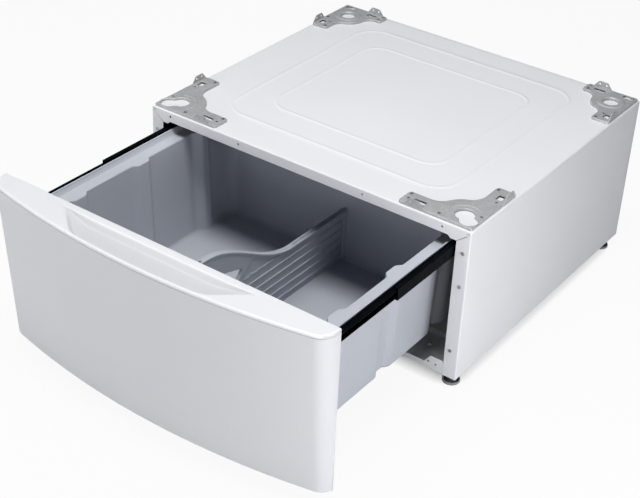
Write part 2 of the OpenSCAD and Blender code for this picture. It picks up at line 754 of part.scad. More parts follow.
// Channel between the front flange and the rear flange that carries the slide, right side
module slide_carrier() difference() {
  union() {
    zc = carrier_h / 2;
    x1 = xs - sheet_t;
    lip_y = yf + return_d + gap;
    box([slide_x1, lip_y, slide_z - zc], [slide_x1 + galv_t, carrier_rear, slide_z + zc]);
    for (z = [-zc, zc - galv_t]) {
      box([slide_x1, lip_y, slide_z + z], [x1, carrier_rear, slide_z + z + galv_t]);
      box([xo + sheet_t + gap, yf + sheet_t, slide_z + z], [x1, lip_y + eps, slide_z + z + galv_t]);
    }
    box([xo + sheet_t + gap, yf + sheet_t, z0 + carrier_tab_z],
      [x1 - gap, yf + sheet_t + galv_t, slide_z + zc]);
    box([slide_x1, carrier_rear - galv_t, slide_z - 2 * zc], [x1 - gap, carrier_rear, slide_z + zc]);
  }
  for (p = jamb_screw_at)
    hole_y(xs - p[0], yf + sheet_t, z0 + p[1], shank_r + screw_gap, galv_t);
  for (y = carrier_screw_at) translate([slide_x1 - over, slide_y + y, slide_z]) rotate([0, 90, 0])
    cylinder(r = shank_r + screw_gap, h = galv_t + 2 * over);
  for (p = rear_screw_points())
    hole_y(p[0], yb - shank_len, p[1], shank_r + screw_gap + stud_hole_gap, shank_len);
}

module left_slide_carrier() color(black_steel) mirror([1, 0, 0]) slide_carrier();
module right_slide_carrier() color(black_steel) slide_carrier();

module jamb_screws() color(screw_steel) both() for (p = jamb_screw_at)
  translate([xs - p[0], yf, z0 + p[1]]) {
    rotate([90, 0, 0]) cylinder(r = head_r, h = jamb_head_h);
    rotate([-90, 0, 0]) cylinder(r = shank_r, h = shank_len);
  }

// Places a slide drawing: u along X from the drawer's rail, v up, length along Y
module slide_bar(len) translate([slide_x0, slide_y + len, slide_z]) rotate([90, 0, 0])
  linear_extrude(len) children();

// Channel section with its web at u0 to u0 + t and lips that reach to lip_u
module channel_section(u0, v, lip_u, t) {
  translate([u0, -v]) square([t, 2 * v]);
  for (z = [-v, v - t]) translate([min(u0, lip_u), z]) square([abs(lip_u - u0) + t / 2, t]);
}

module cabinet_slide_member() difference() {
  slide_bar(slide_len) channel_section(slide_t - member_t, out_v, out_lip_u, member_t);
  for (y = carrier_screw_at) translate([slide_x1 - member_t - over, slide_y + y, slide_z])
    rotate([0, 90, 0]) cylinder(r = shank_r + screw_gap, h = member_t + 2 * over);
}

module middle_slide_member() translate([0, -open_now / 2, 0]) slide_bar(slide_len)
  channel_section(mid_u - member_t, mid_v, mid_lip_u, member_t);

module drawer_slide_member() translate([0, -open_now, 0]) difference() {
  slide_bar(slide_len) {
    translate([0, -in_v]) square([member_t, 2 * in_v]);
    for (z = [-in_v, in_v - member_t]) translate([0, z]) square([in_tip_u, member_t]);
  }
  for (y = slide_screw_at) translate([slide_x0 - over, slide_y + y, slide_z]) rotate([0, 90, 0])
    cylinder(r = shank_r + screw_gap, h = member_t + 2 * over);
}

// Strip that keeps two rows of balls apart: web at u, rows at v, balls at ball_u
module ball_cage(u, v, ball_u, share) translate([0, cage_start - open_now * share, 0]) {
  slide_bar(cage_len) {
    translate([u, -v - cage_t / 2]) square([cage_t, 2 * v + cage_t]);
    for (s = [-1, 1]) translate([ball_u - ball_d / 2, s * v - cage_t / 2])
      square([u - ball_u + ball_d / 2 + cage_t, cage_t]);
  }
  for (i = [0:ball_count - 1]) for (s = [-1, 1])
    translate([slide_x0 + ball_u, slide_y + cage_len * (i + 0.5) / ball_count, slide_z + s * v])
      sphere(r = ball_d / 2);
}

module outer_ball_cage() ball_cage(cage_out_u, mid_v + track / 2, ball_out_u, 0.25);
module inner_ball_cage() ball_cage(cage_in_u, in_v + track / 2, ball_in_u, 0.75);

module left_cabinet_slide_member() color(black_steel) mirror([1, 0, 0]) cabinet_slide_member();
module right_cabinet_slide_member() color(black_steel) cabinet_slide_member();
module left_middle_slide_member() color(black_steel) mirror([1, 0, 0]) middle_slide_member();
module right_middle_slide_member() color(black_steel) middle_slide_member();
module left_drawer_slide_member() color(black_steel) mirror([1, 0, 0]) drawer_slide_member();
module right_drawer_slide_member() color(black_steel) drawer_slide_member();
module left_outer_ball_cage() color(zinc) mirror([1, 0, 0]) outer_ball_cage();
module right_outer_ball_cage() color(zinc) outer_ball_cage();
module left_inner_ball_cage() color(zinc) mirror([1, 0, 0]) inner_ball_cage();
module right_inner_ball_cage() color(zinc) inner_ball_cage();

// Screws from the carrier's hollow side into the cabinet slide members
module carrier_screws() color(screw_steel) both() for (y = carrier_screw_at)
  translate([slide_x1 + galv_t, slide_y + y, slide_z]) {
    rotate([0, 90, 0]) cylinder(r = head_r, h = head_h);
    rotate([0, -90, 0]) cylinder(r = shank_r, h = galv_t + member_t);
  }

// Screws through the drawer slide members into the side rails
module drawer_slide_screws() color(screw_steel) translate([0, -open_now, 0]) both()
  for (y = slide_screw_at) translate([slide_x0 + member_t, slide_y + y, slide_z]) {
    rotate([0, 90, 0]) cylinder(r = head_r, h = head_h);
    rotate([0, -90, 0]) cylinder(r = shank_r, h = member_t + rail_t);
  }

// Angle rail under the tub's rim, right side, with a deeper nose and a front tab
module drawer_rail() translate([0, -open_now, 0]) difference() {
  y1 = slide_y + slide_len - rail_tail;
  z_top = rail_z0 + rail_web_h;
  z_nose = rail_z0 - rail_nose_drop;
  union() {
    box([rail_x0, front_y, rail_z0], [rail_x1, y1, z_top]);
    box([rail_x1 - rail_flange_w, front_y + rail_t, rail_z0], [rail_x1, y1, rail_z0 + rail_t]);
    box([rail_x0, front_y, z_nose], [rail_x1, front_y + rail_nose_len, rail_z0 + eps]);
    box([rail_x1 - rail_tab_in, front_y, z_nose], [rail_x1, front_y + rail_t, z_top]);
  }
  for (y = slide_screw_at) translate([rail_x0 - over, slide_y + y, slide_z]) rotate([0, 90, 0])
    cylinder(r = shank_r + screw_gap, h = rail_t + 2 * over);
  hole_y(rail_x1 - front_screw_in, front_y, front_screw_z, shank_r + screw_gap, rail_t);
}

module left_drawer_rail() color(black_steel) mirror([1, 0, 0]) drawer_rail();
module right_drawer_rail() color(black_steel) drawer_rail();

// Screws through the rails' front tabs into the drawer front's back plate
module drawer_front_screws() color(screw_steel) translate([0, -open_now, 0]) both()
  screw_from_rear(rail_x1 - front_screw_in, front_y + rail_t, front_screw_z);

// Block with leaning walls and round corners, from the floor plane up to the ledge plane
module leaning_block(grow, z_low, z_high) {
  r = tub_corner_r + grow;
  shift = function (z) tub_draft * ((z - tub_floor_z) / well_h - 1);
  hull() for (z = [z_low, z_high]) for (sx = [-1, 1]) for (sy = [0, 1]) {
    x = well_x + grow + shift(z) - r;
    y = sy == 0 ? well_y0 - grow - shift(z) + r : well_y1 + grow + shift(z) - r;
    translate([sx * x, y, z]) cylinder(r = r, h = eps, $fn = 32);
  }
}

// Leaning round columns on both side walls, cut back by inset
module wall_columns(inset, z_low, z_high) both() for (c = columns) {
  r = (c[1] * c[1] / 4 + c[2] * c[2]) / (2 * c[2]);
  translate([well_x - tub_draft + r - c[2], tub_y0 + c[0], tub_floor_z]) rotate([0, draft_angle, 0])
    translate([0, 0, z_low - tub_floor_z]) cylinder(r = r - inset, h = z_high - z_low);
}

// Guide ribs that hold the divider upright at the front wall and the rear wall
module divider_guides() {
  offset_x = divider_t / 2 + gap;
  for (s = [-1, 1]) {
    x = divider_x + s * (offset_x + guide_t / 2) - guide_t / 2;
    box([x, well_y1 - tub_draft - guide_d, tub_floor_z - eps],
      [x + guide_t, well_y1 + tub_wall / 2, tub_floor_z + divider_low_h - guide_drop[0]]);
    box([x, well_y0 - tub_wall / 2, tub_floor_z - eps],
      [x + guide_t, well_y0 + tub_draft + guide_d, tub_floor_z + divider_high_h - guide_drop[1]]);
  }
}

// Moulded tub: rim with a raised lip, flat ledge, leaning walls with columns, guides
module drawer_tub() color(grey_plastic) translate([0, -open_now, 0]) {
  difference() {
    union() {
      difference() {
        leaning_block(tub_wall, tub_z0, ledge_z - tub_wall / 2);
        wall_columns(tub_wall, tub_z0 - over, ledge_z - tub_wall);
      }
      difference() {
        box([-tub_x, tub_y0, skirt_z], [tub_x, tub_y1, lip_z]);
        box([-tub_x + tub_wall, tub_y0 + tub_wall, skirt_z - over],
          [tub_x - tub_wall, tub_y1 - tub_wall, ledge_z - tub_wall]);
        rim_dish();
      }
    }
    difference() {
      leaning_block(0, tub_floor_z, ledge_z + over);
      wall_columns(0, tub_floor_z - over, ledge_z);
      divider_guides();
    }
  }
}

// Hollow above the ledge, open towards the drawer front
module rim_dish() hull() {
  x0 = tub_x - lip_w - lip_slope_w;
  y1 = tub_y1 - lip_w - lip_slope_w;
  box([-x0, tub_y0 - over, ledge_z], [x0, y1, ledge_z + eps]);
  box([-x0 - lip_slope_w, tub_y0 - over, lip_z], [x0 + lip_slope_w, y1 + lip_slope_w, lip_z + over]);
}

// Height of the divider's top edge at distance y behind the tub's front edge
function divider_top(y) = let (t = max(0, min(1, (curve_rear - y) / (curve_rear - curve_front))))
  divider_low_h + (divider_high_h - divider_low_h) * t * t * (3 - 2 * t);

// Divider panel with a curved top band, a hand opening and ribs on its right face
module drawer_divider() color(divider_grey)
  translate([divider_x, tub_y0 - open_now, tub_floor_z + gap]) {
  lean = tub_draft / well_h;
  y_front = well_y0 - tub_y0 + tub_draft + gap;
  y_rear = well_y1 - tub_y0 - tub_draft - gap;
  steps = 24;
  top = [for (i = [0:steps]) curve_rear + (curve_front - curve_rear) * i / steps];
  rear_top = y_rear + lean * divider_low_h;
  front_top = y_front - lean * divider_high_h;
  edge = concat([[rear_top, divider_low_h]], [for (y = top) [y, divider_top(y)]],
    [[front_top, divider_high_h]]);
  low_edge = [for (i = [len(edge) - 1:-1:0]) edge[i] - [0, band_h]];
  along_x(divider_t) difference() {
    polygon(concat([[y_front, 0], [y_rear, 0]], edge));
    polygon(window_at);
  }
  intersection() {
    along_x(band_w) polygon(concat(edge, low_edge));
    box([-band_w, y_front + guide_d - lean * divider_low_h, 0],
      [band_w, y_rear - guide_d, divider_high_h + over]);
  }
  for (i = [0:rib_count - 1]) {
    z = rib_first + i * rib_pitch;
    y_end = z + rib_w < divider_low_h - band_h ? y_rear - guide_d - rib_end_gap : top_rib_rear;
    box([divider_t / 2 - eps, y_front + guide_d + rib_end_gap, z], [divider_t / 2 + rib_h, y_end, z + rib_w]);
  }
}

// Turns a drawing in Y and Z into a plate of thickness t centred on X = 0
module along_x(t) translate([-t / 2, 0, 0]) rotate([90, 0, 90]) linear_extrude(t) children();

// Bowed outline of the drawer front seen from above, with its rear far behind the back plane
function bow_points(inset) = concat(
  [[xs - inset, reach]],
  arc([xs - corner_r, corner_cy], corner_r - inset, 0, -90 + bow_half, 10),
  arc([0, bow_cy], bow_r - inset, -90 + bow_half, -90 - bow_half, 40),
  arc([-xs + corner_r, corner_cy], corner_r - inset, -90 - bow_half, -180, 10),
  [[-xs + inset, reach]]);

// Leaning bowed block between two heights, behind it cut off at y_back
module front_block(inset, z_low, z_high, y_back = 0) translate([0, front_y, 0]) intersection() {
  translate([0, 0, front_z1]) rotate([face_lean, 0, 0]) translate([0, 0, -front_z1 - reach])
    linear_extrude(front_z1 + 2 * reach) polygon(bow_points(inset));
  box([-xs - over, -crest_d - reach, z_low], [xs + over, y_back, z_high]);
}

module drawer_front_skin() color(white_paint) translate([0, -open_now, 0]) difference() {
  front_block(0, front_z0, cap_z);
  front_block(skin_t, front_z0 + skin_t, cap_z + over, over);
}

// Plate that closes the back of the drawer front
module drawer_front_back_plate() color(white_paint) translate([0, -open_now, 0]) difference() {
  front_block(skin_t + gap, front_z0 + skin_t + gap, cap_z - cap_skirt - gap);
  front_block(0, 0, front_z1 + over, -back_plate_t);
  both() hole_y(rail_x1 - front_screw_in, front_y - back_plate_t, front_screw_z,
    shank_r + screw_gap, back_plate_t);
}

// Outline of the hand scoop, grown by g
function scoop_front(x) = crest_d - scoop_rim - bow_r + sqrt(bow_r * bow_r - x * x);
function scoop_half(g) = concat(
  [for (i = [0:10]) let (t = i / 10, s = t * t * (3 - 2 * t))
    [scoop_rear_x + (scoop_front_x - scoop_rear_x) * t + g * (1 - t),
      scoop_back - g + (scoop_front(scoop_front_x) - scoop_back) * s + 2 * g * t]],
  [for (i = [1:8]) let (x = scoop_front_x * (1 - i / 8)) [x, scoop_front(x) + g]]);
function scoop_points(g) = let (h = scoop_half(g), n = len(h)) concat(
  [for (p = h) [p[0], -p[1]]], [for (i = [n - 2:-1:0]) [-h[i][0], -h[i][1]]]);

module scoop_block(g) intersection() {
  translate([0, front_y, front_z1 - scoop_depth - cap_wall - over])
    linear_extrude(scoop_depth + cap_wall + 2 * over) polygon(scoop_points(g));
  translate([-xs, front_y - (scoop_back + crest_d - scoop_rim) / 2,
    front_z1 - scoop_depth + scoop_r]) rotate([0, 90, 0]) cylinder(r = scoop_r + g, h = cab_w);
}

// Plastic cap along the top edge with the hand scoop and a skirt inside the skin
module drawer_front_cap() color(cap_white) translate([0, -open_now, 0]) difference() {
  union() {
    front_block(0, cap_z, front_z1);
    difference() {
      front_block(skin_t + gap, cap_z - cap_skirt, cap_z + eps);
      front_block(skin_t + gap + cap_wall, cap_z - cap_skirt - over, cap_z + 2 * eps, -cap_wall);
    }
    intersection() {
      scoop_block(cap_wall);
      front_block(skin_t + gap, front_z1 - scoop_depth - cap_wall - over, front_z1 - eps);
    }
  }
  scoop_block(0);
}

// Rubber bumpers on the back of the drawer front
module drawer_bumpers() color(rubber_black) translate([0, -open_now, 0]) both()
  for (z = bumper_z) translate([xs - bumper_in, front_y, z]) rotate([-90, 0, 0])
    cylinder(r = bumper_r, h = bumper_h);

cabinet_wrapper();
rear_panel();
front_bottom_rail();
front_base_channel();
rear_base_channel();
front_left_bracket();
front_right_bracket();
rear_left_bracket();
rear_right_bracket();
left_slide_carrier();
right_slide_carrier();
left_cabinet_slide_member();
right_cabinet_slide_member();
left_middle_slide_member();
right_middle_slide_member();
left_drawer_slide_member();
right_drawer_slide_member();
left_outer_ball_cage();
right_outer_ball_cage();
left_inner_ball_cage();
right_inner_ball_cage();
left_drawer_rail();
right_drawer_rail();
drawer_front_skin();
drawer_front_cap();
drawer_front_back_plate();
drawer_tub();
drawer_divider();
foot_weld_nuts();
foot_lock_nuts();
jamb_screws();
rear_panel_screws();
carrier_screws();
bracket_rivets();
drawer_slide_screws();
drawer_front_screws();
drawer_bumpers();
front_left_foot_pad();
front_right_foot_pad();
rear_left_foot_pad();
rear_right_foot_pad();
front_left_foot_stud();
front_right_foot_stud();
rear_left_foot_stud();
rear_right_foot_stud();
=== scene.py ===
import json
import math

import bmesh
import bpy
import numpy as np
from mathutils import Matrix, Vector


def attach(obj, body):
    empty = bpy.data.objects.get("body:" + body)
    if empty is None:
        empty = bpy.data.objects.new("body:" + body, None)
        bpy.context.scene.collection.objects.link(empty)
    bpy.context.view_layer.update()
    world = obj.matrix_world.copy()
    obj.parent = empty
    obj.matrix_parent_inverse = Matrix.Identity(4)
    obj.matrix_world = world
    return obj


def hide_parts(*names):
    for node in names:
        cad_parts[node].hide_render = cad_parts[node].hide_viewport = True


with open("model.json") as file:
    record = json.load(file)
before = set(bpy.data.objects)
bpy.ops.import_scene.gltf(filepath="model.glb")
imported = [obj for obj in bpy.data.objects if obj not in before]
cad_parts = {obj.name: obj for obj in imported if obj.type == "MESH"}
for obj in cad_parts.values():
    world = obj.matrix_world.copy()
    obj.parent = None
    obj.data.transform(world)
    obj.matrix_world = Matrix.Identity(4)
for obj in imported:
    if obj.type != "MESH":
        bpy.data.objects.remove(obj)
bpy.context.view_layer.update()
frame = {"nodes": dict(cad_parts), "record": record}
nodes = frame["nodes"]
print("frame loaded:", len(nodes), "nodes")

mm = 0.001
pi = math.pi

# Finishes: each one is a small net of nodes on Object coordinates, in metres


def startFinish(name, look):
    # An empty material with its shader, and the Object coordinates that every pattern reads
    material = bpy.data.materials.new(name)
    material.use_nodes = True
    tree = material.node_tree
    shader = tree.nodes["Principled BSDF"]
    for socket, value in look.get("shader", {}).items():
        shader.inputs[socket].default_value = value
    place = tree.nodes.new("ShaderNodeTexCoord")
    return material, tree, shader, place.outputs["Object"]


def stretched(tree, place, scale):
    # The coordinates scaled along each axis, so that a pattern is drawn out
    mapping = tree.nodes.new("ShaderNodeMapping")
    mapping.inputs["Scale"].default_value = scale
    tree.links.new(place, mapping.inputs["Vector"])
    return mapping.outputs["Vector"]


def noise(tree, place, scale, detail=3.0, roughness=0.5):
    # Cloudy noise between 0 and 1, with finer layers up to the detail
    node = tree.nodes.new("ShaderNodeTexNoise")
    node.inputs["Scale"].default_value = scale
    node.inputs["Detail"].default_value = detail
    node.inputs["Roughness"].default_value = roughness
    tree.links.new(place, node.inputs["Vector"])
    return node.outputs["Fac"]


def spread(tree, value, low, high, start=0.3, end=0.7):
    # The part of a pattern between start and end, spread over low to high
    node = tree.nodes.new("ShaderNodeMapRange")
    for name, number in (("From Min", start), ("From Max", end), ("To Min", low), ("To Max", high)):
        node.inputs[name].default_value = number
    tree.links.new(value, node.inputs["Value"])
    return node.outputs["Result"]


def mixColours(tree, share, first, second):
    # first + (second - first) share, where either may be a colour or a node's output
    node = tree.nodes.new("ShaderNodeMix")
    node.data_type = "RGBA"
    for socket, colour in (("A", first), ("B", second)):
        target = next(s for s in node.inputs if s.name == socket and s.type == "RGBA")
        if isinstance(colour, tuple):
            target.default_value = (*colour, 1.0)
        else:
            tree.links.new(colour, target)
    tree.links.new(share, node.inputs["Factor"])
    return next(s for s in node.outputs if s.type == "RGBA")


def addBump(tree, shader, height, strength, distance):
    # One bump after another: each reads the normal that the last one left
    node = tree.nodes.new("ShaderNodeBump")
    node.inputs["Strength"].default_value = strength
    node.inputs["Distance"].default_value = distance
    tree.links.new(height, node.inputs["Height"])
    if shader.inputs["Normal"].links:
        tree.links.new(shader.inputs["Normal"].links[0].from_socket, node.inputs["Normal"])
    tree.links.new(node.outputs["Normal"], shader.inputs["Normal"])


def addBumps(tree, shader, place, bumps):
    # Bumps of plain noise, each given as its scale, detail, strength and distance
    for scale, detail, strength, distance in bumps:
        addBump(tree, shader, noise(tree, place, scale, detail), strength, distance)


def clouds(tree, place, pattern, first, second, *span):
    # Two colours, mixed by a noise of the pattern's scale and detail
    share = spread(tree, noise(tree, place, *pattern), 0.0, 1.0, *span)
    return mixColours(tree, share, first, second)


def roughen(tree, shader, place, look):
    # Roughness that drifts between the look's two values with a noise of its own
    pattern = noise(tree, place, *look["roughNoise"])
    rough = spread(tree, pattern, *look["roughness"], *look.get("roughSpan", ()))
    tree.links.new(rough, shader.inputs["Roughness"])


def outsideBox(tree, place, middle, half):
    # Distance from a box: d = length(max(|p - middle| - half, 0))
    steps = (("SUBTRACT", middle), ("ABSOLUTE", None), ("SUBTRACT", half),
             ("MAXIMUM", (0.0, 0.0, 0.0)), ("LENGTH", None))
    value = place
    for operation, other in steps:
        node = tree.nodes.new("ShaderNodeVectorMath")
        node.operation = operation
        tree.links.new(value, node.inputs[0])
        if other is not None:
            node.inputs[1].default_value = other
        value = node.outputs["Value" if operation == "LENGTH" else "Vector"]
    return value


# In every look a noise is given as (scale, detail), and a bump adds (strength, distance)
whitePaintLook = {
    "colour": (0.800, 0.806, 0.836),
    "duller": (0.775, 0.782, 0.816),
    "tone": (4.0, 2.0),
    "roughness": (0.34, 0.40), "roughNoise": (8.0, 1.0), "roughSpan": (0.2, 0.8),
    "bumps": ((900.0, 1.0, 0.03, 0.0003), (7.0, 0.0, 0.05, 0.004)),
    "shader": {"Coat Weight": 0.12, "Coat Roughness": 0.2, "Specular IOR Level": 0.35},
    # the cabinet's inner faces are painted near black as painted shade: a box with round edges, in
    # metres
    "paintedShade": (0.004, 0.006, 0.008),
    "inside": {"middle": (0.0, 0.0, 0.17425), "half": (0.339, 0.3045, 0.14525),
               "reach": (0.0032, 0.0036)},
}
# the drawer front: the same white paint, darker as painted shade
shadedFrontPaintLook = {**whitePaintLook, "colour": (0.648, 0.655, 0.684),
                   "duller": (0.630, 0.637, 0.667)}


def whitePaint(name, look):
    # Powder coat: slow drifts of tone, orange peel and a long wave, with painted shade near black
    # on the cabinet's inner faces
    material, tree, shader, place = startFinish(name, look)
    paint = clouds(tree, place, look["tone"], look["colour"], look["duller"])
    # painted shade: inside the box the paint turns near black, fading out over the reach
    inside = look["inside"]
    away = outsideBox(tree, place, inside["middle"], inside["half"])
    paintedShadeShare = spread(tree, away, 1.0, 0.0, *inside["reach"])
    tree.links.new(mixColours(tree, paintedShadeShare, paint, look["paintedShade"]), shader.inputs["Base Color"])
    roughen(tree, shader, place, look)
    addBumps(tree, shader, place, look["bumps"])
    return material


zincLook = {
    "colour": (0.455, 0.460, 0.470),
    "paler": (0.515, 0.520, 0.528),
    "cells": 190.0,
    "spot": (0.36, 0.366, 0.38), "spotNoise": (330.0, 3.0),
    "spotShare": 0.5, "spotSpan": (0.62, 0.78),
    "roughness": (0.42, 0.52),
    "grain": (60.0, 900.0, 900.0), "grainBump": (0.05, 0.0002),
    "bumps": ((160.0, 2.0, 0.06, 0.0003),),
    "shader": {"Metallic": 0.35, "Specular IOR Level": 0.5},
}
# the base channels' zinc, paler as painted light on parts that stand in the cabinet's shade
litZincLook = {**zincLook, "colour": (0.70, 0.71, 0.72), "paler": (0.80, 0.81, 0.82),
                "spot": (0.5, 0.51, 0.52),
                "shader": {"Metallic": 0.1, "Specular IOR Level": 0.5}}


def zincPlate(name, look):
    # Galvanised sheet: crystal cells of two greys, small dark spots and a rolled grain
    material, tree, shader, place = startFinish(name, look)
    cells = tree.nodes.new("ShaderNodeTexVoronoi")
    cells.inputs["Scale"].default_value = look["cells"]
    tree.links.new(place, cells.inputs["Vector"])
    separate = tree.nodes.new("ShaderNodeSeparateColor")
    tree.links.new(cells.outputs["Color"], separate.inputs["Color"])
    base = mixColours(tree, separate.outputs["Red"], look["colour"], look["paler"])
    spots = spread(tree, noise(tree, place, *look["spotNoise"]), 0.0, look["spotShare"],
                   *look["spotSpan"])
    tree.links.new(mixColours(tree, spots, base, look["spot"]), shader.inputs["Base Color"])
    tree.links.new(spread(tree, separate.outputs["Green"], *look["roughness"], 0.0, 1.0),
                   shader.inputs["Roughness"])
    grain = noise(tree, stretched(tree, place, look["grain"]), 1.0)
    addBump(tree, shader, grain, *look["grainBump"])
    addBumps(tree, shader, place, look["bumps"])
    return material


blackSteelLook = {
    "colour": (0.0015, 0.0026, 0.0036),
    "paler": (0.0035, 0.005, 0.0065),
    "tone": (45.0, 4.0),
    "roughness": (0.26, 0.36),
    "lines": (700.0, 9.0, 700.0), "lineBump": (0.10, 0.0003),
    "shader": {"Specular IOR Level": 0.012},
}


def blackSteel(name, look):
    # Blackened roll-formed steel: lengthways drawing lines and cloudy tone
    material, tree, shader, place = startFinish(name, look)
    steel = clouds(tree, place, look["tone"], look["colour"], look["paler"])
    tree.links.new(steel, shader.inputs["Base Color"])
    lines = noise(tree, stretched(tree, place, look["lines"]), 1.0)
    tree.links.new(spread(tree, lines, *look["roughness"]), shader.inputs["Roughness"])
    addBump(tree, shader, lines, *look["lineBump"])
    return material


bareSteelLook = {
    "colour": (0.36, 0.37, 0.385),
    "paler": (0.52, 0.53, 0.545),
    "tone": (240.0, 4.0),
    "roughness": (0.22, 0.42), "roughNoise": (600.0, 3.0),
    "bumps": ((900.0, 3.0, 0.08, 0.0002),),
    "shader": {"Metallic": 0.85},
}


def bareSteel(name, look):
    # Plated fasteners: bright steel with cloudy tarnish and fine turning marks
    material, tree, shader, place = startFinish(name, look)
    steel = clouds(tree, place, look["tone"], look["colour"], look["paler"])
    tree.links.new(steel, shader.inputs["Base Color"])
    roughen(tree, shader, place, look)
    addBumps(tree, shader, place, look["bumps"])
    return material


resin = {"tone": (7.0, 3.0), "roughNoise": (9.0, 1.0), "roughSpan": (0.2, 0.8),
         "wave": (6.0, 0.0, 0.05, 0.003)}
plasticLooks = {
    "tub": {**resin, "colour": (0.500, 0.524, 0.580), "other": (0.470, 0.494, 0.550),
            "roughness": (0.42, 0.56), "grain": (1500.0, 1.0, 0.16, 0.0002),
            "shader": {"Specular IOR Level": 0.4}},
    # the divider: the tub's grey plastic, darker as painted shade
    "divider": {**resin, "colour": (0.440, 0.462, 0.515), "other": (0.410, 0.431, 0.484),
                "roughness": (0.40, 0.54), "grain": (1500.0, 1.0, 0.14, 0.0002),
                "shader": {"Specular IOR Level": 0.4}},
    "cap": {**resin, "colour": (0.790, 0.796, 0.824), "other": (0.768, 0.774, 0.804),
            "roughness": (0.27, 0.33), "grain": (700.0, 1.0, 0.03, 0.0002),
            "shader": {"Specular IOR Level": 0.5},
            # the hand scoop is painted darker as painted shade: behind the bowed rim and below the
            # top, in metres
            "satin": (0.640, 0.646, 0.672), "bowCentre": (0.0, 0.7505, 0.0),
            "rim": (1.4850, 1.4858), "depth": (0.3354, 0.3367)},
}


def scoopShare(tree, place, look):
    # 1 where the point lies nearer to the bow's centre than the rim and lower than the top
    axes = tree.nodes.new("ShaderNodeSeparateXYZ")
    tree.links.new(place, axes.inputs["Vector"])
    away = tree.nodes.new("ShaderNodeVectorMath")
    away.operation = "DISTANCE"
    tree.links.new(stretched(tree, place, (1.0, 1.0, 0.0)), away.inputs[0])
    away.inputs[1].default_value = look["bowCentre"]
    both = tree.nodes.new("ShaderNodeMath")
    both.operation = "MULTIPLY"
    tree.links.new(spread(tree, away.outputs["Value"], 1.0, 0.0, *look["rim"]), both.inputs[0])
    tree.links.new(spread(tree, axes.outputs["Z"], 1.0, 0.0, *look["depth"]), both.inputs[1])
    return both.outputs[0]


def mouldedPlastic(name, look):
    # Injection-moulded resin: faint flow clouds, fine spark-eroded grain and a long wave
    material, tree, shader, place = startFinish(name, look)
    colour = clouds(tree, place, look["tone"], look["colour"], look["other"])
    # painted shade: the scoop's colour is darker than the rest of the cap
    if "satin" in look:
        colour = mixColours(tree, scoopShare(tree, place, look), colour, look["satin"])
    tree.links.new(colour, shader.inputs["Base Color"])
    roughen(tree, shader, place, look)
    addBumps(tree, shader, place, (look["grain"], look["wave"]))
    return material


rubberLook = {
    "colour": (0.018, 0.019, 0.021),
    "dusty": (0.055, 0.056, 0.058), "dust": (120.0, 5.0), "dustSpan": (0.45, 0.75),
    "roughness": (0.55, 0.75), "roughNoise": (300.0, 3.0),
    "bumps": ((1100.0, 2.0, 0.2, 0.0003),),
    "shader": {"Specular IOR Level": 0.35},
}
footRubberLook = {**rubberLook, "colour": (0.280, 0.284, 0.292), "dusty": (0.420, 0.426, 0.436)}


def mouldedRubber(name, look):
    # Moulded rubber: matte, with dust that settles in soft clouds
    material, tree, shader, place = startFinish(name, look)
    dusted = clouds(tree, place, look["dust"], look["colour"], look["dusty"], *look["dustSpan"])
    tree.links.new(dusted, shader.inputs["Base Color"])
    roughen(tree, shader, place, look)
    addBumps(tree, shader, place, look["bumps"])
    return material


finishes = {
    "white_paint": whitePaint("whitePaint", whitePaintLook),
    "shaded_front_paint": whitePaint("shadedFrontPaint", shadedFrontPaintLook),
    "zinc_plate": zincPlate("zincPlate", zincLook),
    "lit_zinc": zincPlate("litZinc", litZincLook),
    "black_steel": blackSteel("blackSteel", blackSteelLook),
    "bare_steel": bareSteel("bareSteel", bareSteelLook),
    "grey_plastic": mouldedPlastic("tubPlastic", plasticLooks["tub"]),
    "divider_plastic": mouldedPlastic("dividerPlasticShaded", plasticLooks["divider"]),
    "cap_plastic": mouldedPlastic("capPlastic", plasticLooks["cap"]),
    "black_rubber": mouldedRubber("blackRubber", rubberLook),
    "foot_rubber": mouldedRubber("footRubber", footRubberLook),
}
slotOfNode = {s["node"]: s["material_slot"] for s in frame["record"]["subparts"]}
# the base channels take the paler zinc: painted light
ownFinish = {"front_base_channel": "lit_zinc", "rear_base_channel": "lit_zinc"}
for nodeName, piece in nodes.items():
    piece.data.materials.clear()
    piece.data.materials.append(finishes[ownFinish.get(nodeName, slotOfNode[nodeName])])
print("finishes made:", len(finishes))

# Mesh making: grids of points become quads, and one call finishes each piece


def gridQuads(rows, columns, closeRows=False, closeColumns=False):
    # Each quad joins point (i, j) to its neighbours; a closed direction wraps to its first line
    i = np.arange(rows if closeRows else rows - 1)[:, None]
    j = np.arange(columns if closeColumns else columns - 1)[None, :]
    nextI, nextJ = (i + 1) % rows, (j + 1) % columns
    corners = (i * columns + j, nextI * columns + j, nextI * columns + nextJ, i * columns + nextJ)
    return np.stack(corners, axis=-1).reshape(-1, 4)


def patch(points, closeRows=False, closeColumns=False, flip=False):
    # A surface in millimetres as (points, quads)
    points = np.asarray(points, float)
    quads = gridQuads(points.shape[0], points.shape[1], closeRows, closeColumns)
    return points.reshape(-1, 3), quads[:, ::-1] if flip else quads


def fan(ring, flip=False):
    # Closes a ring with one flat face
    ring = np.asarray(ring, float)
    face = np.arange(len(ring))[None, :]
    return ring, face[:, ::-1] if flip else face


def prism(outline, axis, start, end):
    # A closed solid over a plane outline, drawn in (y, z), (x, z) or (x, y) for axis x, y or z
    outline = np.asarray(outline, float)
    order = {"x": (2, 0, 1), "y": (0, 2, 1), "z": (0, 1, 2)}[axis]
    ends = [np.column_stack((outline, np.full(len(outline), w)))[:, order] for w in (start, end)]
    return [patch(ends, closeColumns=True), fan(ends[0], flip=True), fan(ends[1])]


def circle(centre, radius, steps=24):
    # centre + radius (cos a, sin a) at even turns a
    turn = np.arange(steps) * (2 * pi / steps)
    return np.column_stack((centre[0] + radius * np.cos(turn), centre[1] + radius * np.sin(turn)))


